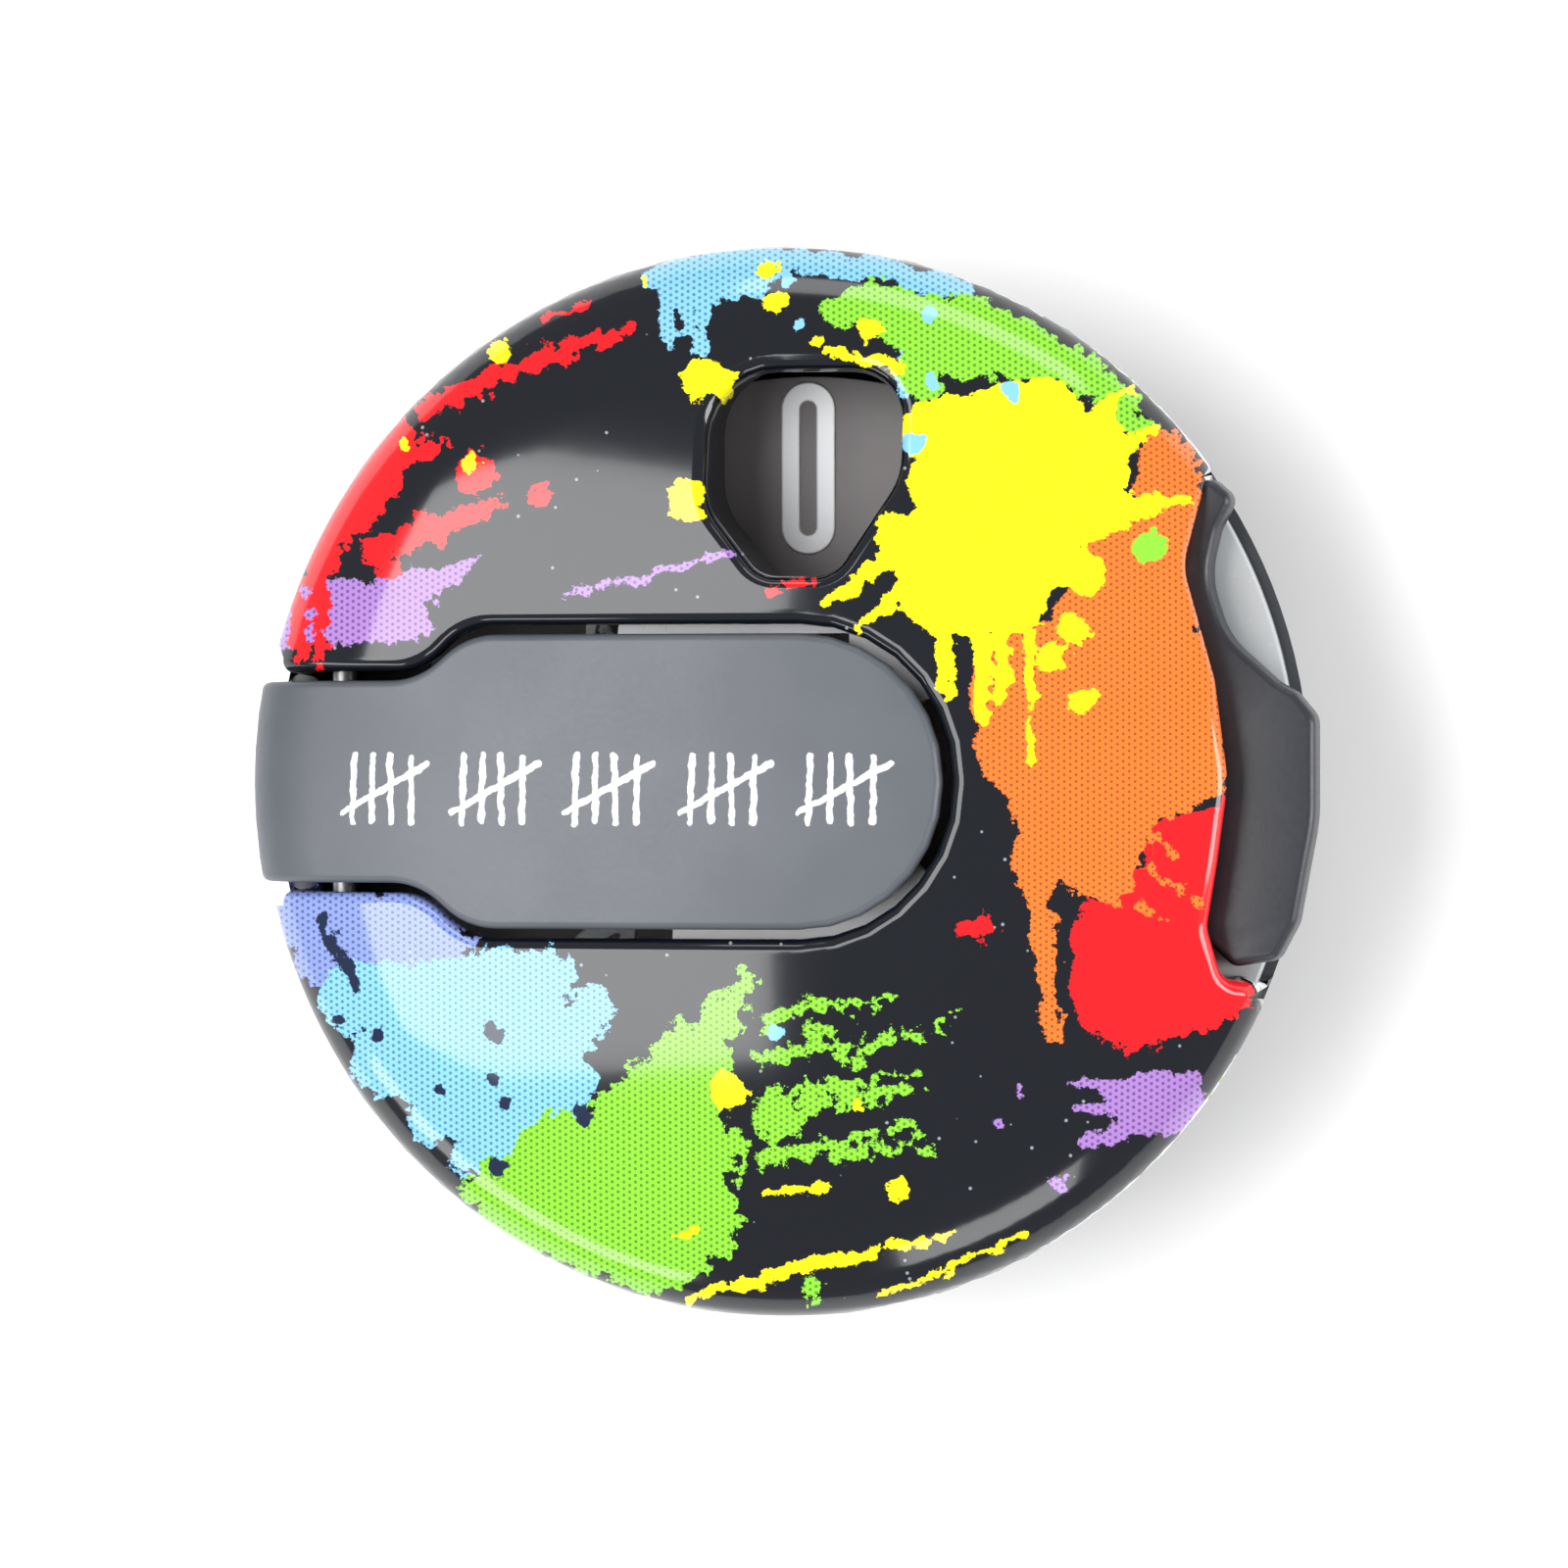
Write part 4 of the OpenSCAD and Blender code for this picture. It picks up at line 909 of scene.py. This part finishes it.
class ShellPrint:
    """Glossy black plastic with a paint-splatter print under clear lacquer."""

    # Directions across and up the print, which also turn metres into millimetres
    ACROSS = (980.0, 0.0, -200.0)
    UP = (0.0, 1000.0, 0.0)
    DOT_PITCH = 0.25
    DOT_SHADE = 0.42

    def __init__(self) -> None:
        """Makes the node groups that the print is built from."""
        self.stroke = stroke_group()
        self.halftone = halftone_group()

    def distance(self, g: Graph, point: Socket, strokes: tuple[tuple[float, ...], ...],
                 soften: float = 0.25) -> Socket:
        """Distance to the nearest of some strokes.

        Args:
            g: graph of the material.
            point: place on the print.
            strokes: the strokes, as in Ink.
            soften: how widely strokes that meet flow into each other.
        Returns:
            Socket with the distance.
        """
        nearest = None
        for stroke in strokes:
            u0, v0, r0, u1, v1, r1 = stroke if len(stroke) == 6 else stroke + stroke
            du, dv = u1 - u0, v1 - v0
            share = 1 / max(du * du + dv * dv, 1e-6)
            here = g.group(self.stroke, point, (u0, v0, 0), (du, dv, 0), share, r0, r1 - r0)[0]
            nearest = here if nearest is None else g.math("SMOOTH_MIN", nearest, here, soften)
        return nearest

    def side(self, g: Graph, place: Socket, colour: Socket) -> Socket:
        """Puts the pale splashed band on the side wall that faces the lever.

        Args:
            g: graph of the material.
            place: place on the shell, in metres.
            colour: colour of the print above the band.
        Returns:
            Socket with the colour.
        """
        x, _, z = g.axes(place)
        low = g.step(z, 0.01035, 0.01025)
        right = g.step(x, 0.0, 0.0006)
        cloud = g.noise(place, 300.0, 2.0)
        band = g.blend(g.step(cloud, 0.56, 0.57), linear(214, 218, 220), linear(20, 24, 30))
        line = g.step(g.math("ABSOLUTE", g.math("SUBTRACT", cloud, 0.5)), 0.012, 0.008)
        band = g.blend(line, band, linear(150, 178, 40))
        return g.blend(g.math("MULTIPLY", low, right), colour, band)

    def material(self) -> bpy.types.Material:
        """Builds the print, layer over layer, and its lacquer."""
        material, g, principled, place = new_material("printed_shell_look")
        u = g.vector("DOT_PRODUCT", place, self.ACROSS)
        v = g.vector("DOT_PRODUCT", place, self.UP)
        flat = g.add("ShaderNodeCombineXYZ")
        g.feed(flat, g.math("ADD", u, 2.0), v, 0.0)
        flat = flat.outputs[0]
        wide = g.vector("SUBTRACT", g.noise(flat, 0.85, 2.0, colour=True), (0.5, 0.5, 0.5))
        fine = g.vector("SUBTRACT", g.noise(flat, 3.2, 2.0, colour=True), (0.5, 0.5, 0.5))
        wander = g.vector("ADD", g.scaled(wide, 1.5), g.scaled(fine, 0.35))
        wander = g.vector("MULTIPLY", wander, (1.0, 1.0, 0.0))
        spray = g.math("MULTIPLY_ADD", g.noise(flat, 1.7, 4.0, 0.65), 1.9, -0.95)
        specks = g.add("ShaderNodeTexVoronoi")
        g.tree.links.new(flat, specks.inputs["Vector"])
        specks.inputs["Scale"].default_value = 1.1
        pale = g.step(specks.outputs["Distance"], 0.085, 0.05)
        colour = g.blend(g.math("MULTIPLY", pale, 0.35), linear(13, 17, 25), PALE)
        masks = {dots: g.group(self.halftone, flat, self.DOT_PITCH, dots.value)[0]
                 for dots in (Dots.LARGE, Dots.SMALL)}
        for ink in INKS:
            point = g.vector("ADD", flat, g.scaled(wander, ink.ragged))
            distance = g.math("MULTIPLY_ADD", spray, ink.ragged,
                              self.distance(g, point, ink.strokes))
            inside = g.step(distance, 0.03, -0.03)
            tone = ink.colour
            if ink.dots is not Dots.NONE:
                dark = tuple(c * self.DOT_SHADE for c in ink.colour[:3]) + (1.0,)
                tone = g.blend(masks[ink.dots], ink.colour, dark)
            colour = g.blend(inside, colour, tone)
        colour = self.side(g, place, colour)
        g.tree.links.new(colour, principled.inputs["Base Color"])
        principled.inputs["Roughness"].default_value = 0.1
        principled.inputs["Coat Weight"].default_value = 0.15
        principled.inputs["Coat Roughness"].default_value = 0.04
        peel = g.noise(place, 700.0, 1.0)
        g.relief(principled, peel, 0.05, 0.00003)
        return material


class TonguePrint(ShellPrint):
    """Satin grey plastic with rows of five-bar tally marks."""

    GATE = 4.45
    BARS = ((0.55, -1.5, 0.1, 0.65, 1.0, 0.13), (1.35, -1.4, 0.13, 1.4, 1.05, 0.1),
            (2.15, -1.5, 0.1, 2.1, 1.0, 0.13), (2.95, -1.45, 0.13, 3.0, 0.95, 0.1),
            (0.15, -1.1, 0.1, 3.6, 0.7, 0.13))

    def material(self) -> bpy.types.Material:
        """Builds the plastic and its marks."""
        material, g, principled, place = new_material("tongue_look")
        flat = g.scaled(place, 1000.0)
        x, y, _ = g.axes(flat)
        gate = g.math("WRAP", g.math("ADD", x, 16.3), self.GATE, 0.0)
        point = g.add("ShaderNodeCombineXYZ")
        g.feed(point, gate, g.math("ADD", y, 0.05), 0.0)
        wander = g.vector("SUBTRACT", g.noise(flat, 2.4, 2.0, colour=True), (0.5, 0.5, 0.5))
        point = g.vector("ADD", point.outputs[0],
                         g.vector("MULTIPLY", wander, (0.22, 0.22, 0.0)))
        marks = g.step(self.distance(g, point, self.BARS, 0.02), 0.03, -0.03)
        inside = g.math("MULTIPLY", g.step(x, -16.4, -16.3), g.step(x, 5.6, 5.5))
        cloud = g.noise(place, 160.0, 3.0)
        fine = g.noise(place, 5200.0, 3.0, 0.6)
        tone = g.blend(g.step(cloud, 0.3, 0.7), linear(78, 82, 89), linear(86, 90, 97))
        colour = g.blend(g.math("MULTIPLY", marks, inside), tone, linear(232, 234, 236))
        g.tree.links.new(colour, principled.inputs["Base Color"])
        rough = g.math("MULTIPLY_ADD", fine, 0.14, 0.34)
        g.tree.links.new(rough, principled.inputs["Roughness"])
        g.relief(principled, fine, 0.18, 0.00002)
        return material


# ---- Sub-assemblies ------------------------------------------------------------------


@dataclass
class Assembly:
    """Shared way in which a sub-assembly's pieces join the frame."""

    looks: dict[Slot, bpy.types.Material]

    def fit(self, obj: bpy.types.Object, body: Body, slot: Slot, replaces: Sequence[str] = (),
            material: bpy.types.Material | None = None) -> None:
        """Gives a finished piece its material and body, and logs it.

        Args:
            obj: the piece.
            body: the body it rides on.
            slot: the slot whose material it takes when no other material is given.
            replaces: the CAD nodes that it stands for.
            material: its material, if it isn't the slot's own.
        """
        obj.data.materials.clear()
        obj.data.materials.append(material or self.looks[slot])
        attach(obj, body.value)
        if replaces:
            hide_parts(*replaces)
        log.info("%s: %d faces on %s", obj.name, len(obj.data.polygons), body.value)


@dataclass
class FrontShell(Assembly):
    """Printed cover with its slot, window collar, notch and lever ledge."""

    wall: float = 1.2
    roll: float = 0.5
    slot_gap: float = 0.38
    collar: float = 0.8
    collar_z: float = 10.4
    ledge_thick: float = 0.6
    ledge_z: float = 8.71

    def outline(self) -> Outline:
        """Unrolled outer outline, with the slot and the notch as bays."""
        edge = SHELL_DOME.foot + 0.3
        slot = SHELL_DOME.bay(rounded(tongue_corners(self.slot_gap))[::-1], edge)
        notch = SHELL_DOME.bay(rounded(NOTCH), edge)

        def angle(point: Point) -> float:
            """Direction of a point in degrees."""
            return math.degrees(math.atan2(point[1], point[0])) % 360

        upper = arc(edge, angle(notch[0]), angle(slot[0]), 1.5)[1:-1]
        lower = arc(edge, angle(slot[-1]), angle(notch[-1]), 1.5)[1:-1]
        return notch[::-1] + upper + slot + lower

    def build(self) -> None:
        """Builds the shell and its collar and ledge."""
        window = [SHELL_DOME.unroll(p) for p in dense(rounded(window_corners(0)), PATH_STEP, True)]
        skin = plate("shell_skin", [self.outline(), window], self.wall, self.roll, 5, 0.7)
        SHELL_DOME.wrap(skin.data, self.wall)
        self.fit(skin, Body.CASE, Slot.SHELL, ["front_shell"])
        collar = plate("window_collar", [rounded(window_corners(self.collar)),
                                         rounded(window_corners(0.02))], 2.0, 0.05, 1)
        rim = CROWN_STEPS + SHOULDER_STEPS
        for vertex in collar.data.vertices:
            x, y, z = vertex.co
            r = min(math.hypot(x, y), SHELL_DOME.side_r)
            roof = float(np.interp(r, SHELL_DOME.radii[:rim], SHELL_DOME.heights[:rim]))
            vertex.co.z = roof - 0.55 if z > 0 else self.collar_z
        in_metres(collar)
        smooth(collar)
        ledge = plate("lever_ledge", [arc(16.4, 36, -24) + arc(19.3, -24, 36)],
                      self.ledge_thick, 0.12)
        in_metres(ledge, (0, 0, self.ledge_z))
        smooth(ledge)
        self.fit(collar, Body.CASE, Slot.SHELL)
        pale = Finish("ledge_look", linear(188, 192, 194), 0.25, vary=0.04, coat=0.3)
        self.fit(ledge, Body.CASE, Slot.SHELL, material=pale.material())


@dataclass
class CountTongue(Assembly):
    """Press tongue with its hinge ribs and wedge."""

    thick: float = 1.3
    roll: float = 0.32
    web: float = 0.8
    rib_y: float = 3.1
    wedge_y: float = 5.0

    def build(self) -> None:
        """Builds the tongue's skin and what stands under it."""
        edge = TONGUE_DOME.foot + 0.2
        bay = TONGUE_DOME.bay(rounded(tongue_corners(0)), edge)
        ends = [math.degrees(math.atan2(p[1], p[0])) % 360 for p in (bay[-1], bay[0])]
        outline = bay + arc(edge, ends[0], ends[1], 1.5)[1:-1]
        skin = plate("tongue_skin", [outline], self.thick, self.roll, 5, 0.7)
        TONGUE_DOME.wrap(skin.data, self.thick)
        self.fit(skin, Body.TONGUE, Slot.TONGUE, ["count_tongue"])
        upright = Matrix.Rotation(math.pi / 2, 4, "X")
        for side in (-1, 1):
            rib = plate("tongue_rib", [rounded(HINGE_RIB), HINGE_BORE], self.web, 0.1)
            rib.name = f"tongue_rib_{'a' if side > 0 else 'b'}"
            in_metres(rib, (0, side * self.rib_y, 0), upright)
            smooth(rib)
            self.fit(rib, Body.TONGUE, Slot.TONGUE)
        wedge = plate("tongue_wedge", [WEDGE], self.web, 0.06)
        in_metres(wedge, (0, self.wedge_y, 0), upright)
        smooth(wedge)
        self.fit(wedge, Body.TONGUE, Slot.TONGUE)


@dataclass
class ResetLever(Assembly):
    """Side lever with its finger."""

    thick: float = 1.6
    foot_z: float = 9.2
    finger_thick: float = 1.1
    finger_z: float = 9.75

    def build(self) -> None:
        """Builds the lever."""
        arm = plate("lever_arm", [rounded(LEVER)], self.thick, 0.3, 4)
        in_metres(arm, (0, 0, self.foot_z + self.thick / 2))
        finger = plate("lever_finger", [FINGER], self.finger_thick, 0.08)
        in_metres(finger, (0, 0, self.finger_z))
        lever = merge("lever", [arm, finger])
        smooth(lever, 50)
        self.fit(lever, Body.LEVER, Slot.LEVER, ["reset_lever"])


@dataclass
class NumberWheel(Assembly):
    """Wheel with pale printed numerals."""

    centre_x: float = 0.8
    face_z: float = 8.8
    radius: float = 11.75
    height: float = 5.75
    width: float = 1.35
    pen: float = 0.375
    positions: int = 14
    numbers: int = 13

    def strokes(self, digit: int) -> list[tuple[Outline, bool]]:
        """Centre lines of a digit, centred on 0.

        Args:
            digit: the digit, 0 to 9.
        Returns:
            Each line, and whether it is closed.
        """
        w, h = self.width / 2, self.height / 2
        loop = rounded([(-w, -h, w), (w, -h, w), (w, h, w), (-w, h, w)], 8)
        top = rounded([(-w, 0.1, w * 0.9), (w, 0.1, w * 0.9), (w, h, w), (-w, h, w)], 8)
        low = rounded([(-w, -h, w), (w, -h, w), (w, 0.1, w * 0.9), (-w, 0.1, w * 0.9)], 8)

        def part(points: Outline, keep: Callable[[float, float], bool]) -> Outline:
            """The points that keep allows."""
            return [p for p in points if keep(*p)]

        hook = [(w * math.cos(a), h - w + w * math.sin(a))
                for a in (math.radians(165 - 11 * k) for k in range(16))]
        shapes = {
            0: [(loop, True)],
            1: [([(-w * 0.7, h * 0.62), (0.15, h), (0.15, -h)], False)],
            2: [(hook + [(w, h * 0.35), (-w, -h), (w, -h)], False)],
            3: [([(-w, h), (w, h), (-w * 0.1, h * 0.15)]
                 + part(low[::-1], lambda x, y: x > -w * 0.1 or y < -h * 0.6), False)],
            4: [([(w * 0.35, -h), (w * 0.35, h), (-w, -h * 0.35), (w, -h * 0.35)], False)],
            5: [([(w, h), (-w, h), (-w, h * 0.1), (0, h * 0.2), (w * 0.85, -h * 0.05),
                  (w, -h * 0.5), (w * 0.6, -h * 0.92), (-w * 0.1, -h), (-w, -h * 0.75)], False)],
            6: [(low, True), ([(w * 0.7, h), (-w * 0.6, h * 0.35), (-w, -h * 0.35)], False)],
            7: [([(-w, h), (w, h), (-w * 0.35, -h)], False)],
            8: [(low, True), (top, True)],
            9: [(top, True), ([(-w * 0.7, -h), (w * 0.6, -h * 0.35), (w, h * 0.35)], False)],
        }
        return shapes[digit]

    def numeral(self, value: int) -> bpy.types.Object:
        """One printed number at its place on the wheel.

        Args:
            value: the number.
        Returns:
            The new mesh object, in metres.
        """
        digits = [int(d) for d in str(value)]
        squeeze = 1.0 if len(digits) == 1 else 0.62
        curve = bpy.data.curves.new(f"numeral_{value}", "CURVE")
        curve.dimensions, curve.bevel_depth, curve.bevel_resolution = "3D", self.pen, 2
        curve.use_fill_caps = True
        for k, digit in enumerate(digits):
            shift = (k - (len(digits) - 1) / 2) * 1.75
            for points, closed in self.strokes(digit):
                spline = curve.splines.new("POLY")
                spline.points.add(len(points) - 1)
                for point, (x, y) in zip(spline.points, points):
                    point.co = (x * squeeze + shift, y, 0, 1)
                spline.use_cyclic_u = closed
        obj = bpy.data.objects.new(f"numeral_{value}", curve)
        bpy.context.collection.objects.link(obj)
        alone(obj)
        bpy.ops.object.convert(target="MESH")
        obj = bpy.context.view_layer.objects.active
        angle = 2 * math.pi * value / self.positions
        turn = (Matrix.Rotation(angle, 4, "Z") @ Matrix.Translation((0, self.radius, 0))
                @ Matrix.Diagonal((1, 1, 0.03, 1)))
        in_metres(obj, (self.centre_x, 0, self.face_z + 0.012), turn)
        return obj

    def build(self) -> None:
        """Builds the wheel's disc and its numerals."""
        wheel = softened("number_wheel", "wheel_disc", 0.12)
        self.fit(wheel, Body.WHEEL, Slot.WHEEL, ["number_wheel"])
        ink = Finish("numeral_look", linear(244, 246, 255), 0.5, vary=0.03).material()
        for value in range(self.numbers):
            self.fit(self.numeral(value), Body.WHEEL, Slot.WHEEL, material=ink)


@dataclass
class BackCase(Assembly):
    """Rear case, spring clip and their fasteners."""

    def build(self) -> None:
        """Softens the CAD pieces that show on the back."""
        parts = [("rear_case", "back_tub", 0.2, Body.CASE, Slot.BLACK_ABS),
                 ("glove_clip", "clip_arm", 0.3, Body.CLIP, Slot.BLACK_ABS),
                 ("clip_pad", "clip_cushion", 0.15, Body.CLIP, Slot.RUBBER),
                 ("case_screws", "back_screws", 0.04, Body.CASE, Slot.STEEL),
                 ("clip_hinge_pin", "clip_pin", 0.12, Body.CASE, Slot.STEEL)]
        for node, name, width, body, slot in parts:
            self.fit(softened(node, name, width), body, slot, [node])


# ---- Studio --------------------------------------------------------------------------


@dataclass(frozen=True)
class Softbox:
    """Rectangular light that faces the object."""

    name: str
    place: Place
    size: tuple[float, float]
    power: float

    def build(self) -> None:
        """Adds the light."""
        data = bpy.data.lights.new(self.name, "AREA")
        data.shape, data.size, data.size_y, data.energy = "RECTANGLE", *self.size, self.power
        light = bpy.data.objects.new(self.name, data)
        bpy.context.collection.objects.link(light)
        light.location = self.place
        away = Vector(self.place) - Vector((0, 0, 0.01))
        light.rotation_euler = away.to_track_quat("Z", "Y").to_euler()


@dataclass
class Studio:
    """Floor, lights and camera."""

    tilt: float = 11.5
    distance: float = 0.35
    lens: float = 215.0
    aim: Place = (0.00011, -0.00009, 0.010)
    boxes: tuple[Softbox, ...] = (
        Softbox("key", (-0.20, 0.01, 0.37), (0.36, 0.29), 1.9),
        Softbox("right", (0.42, -0.02, 0.20), (0.16, 0.34), 1.5),
        Softbox("low_left", (-0.30, -0.34, 0.14), (0.34, 0.08), 0.4),
        Softbox("low_right", (0.12, -0.42, 0.26), (0.2, 0.12), 0.35),
        Softbox("back", (0.05, 0.42, 0.20), (0.35, 0.10), 0.4),
    )

    def build(self) -> None:
        """Sets up the studio."""
        bpy.ops.object.select_all(action="DESELECT")
        bpy.ops.mesh.primitive_plane_add(size=40, location=(0, 0, -0.00001))
        floor = bpy.context.view_layer.objects.active
        floor.name = "floor"
        material, g, principled, place = new_material("floor_look")
        tone = g.blend(g.noise(place, 40.0), (0.93, 0.93, 0.935, 1), (0.95, 0.95, 0.95, 1))
        g.tree.links.new(tone, principled.inputs["Base Color"])
        principled.inputs["Roughness"].default_value = 0.8
        floor.data.materials.append(material)
        world = bpy.data.worlds.new("studio_world")
        world.use_nodes = True
        background = world.node_tree.nodes["Background"]
        background.inputs[0].default_value = (1.0, 1.0, 1.0, 1.0)
        background.inputs[1].default_value = 0.42
        bpy.context.scene.world = world
        for box in self.boxes:
            box.build()
        camera = bpy.data.objects.new("camera", bpy.data.cameras.new("camera"))
        bpy.context.collection.objects.link(camera)
        a = math.radians(self.tilt)
        back = Vector((math.sin(a), 0, math.cos(a)))
        camera.matrix_world = Matrix.LocRotScale(
            Vector(self.aim) + back * self.distance,
            Matrix(((math.cos(a), 0, math.sin(a)), (0, 1, 0),
                    (-math.sin(a), 0, math.cos(a)))).to_quaternion(), None)
        camera.data.lens, camera.data.sensor_width = self.lens, 36.0
        camera.data.clip_start = 0.01
        bpy.context.scene.camera = camera
        bpy.context.scene.view_settings.view_transform = "Standard"


def main() -> None:
    """Builds every sub-assembly, then the studio."""
    looks = {slot: finish.material() for slot, finish in FINISHES.items()}
    looks[Slot.SHELL] = ShellPrint().material()
    looks[Slot.TONGUE] = TonguePrint().material()
    for kind in (FrontShell, CountTongue, ResetLever, NumberWheel, BackCase):
        kind(looks).build()
    Studio().build()


if __name__ == "__main__":
    main()
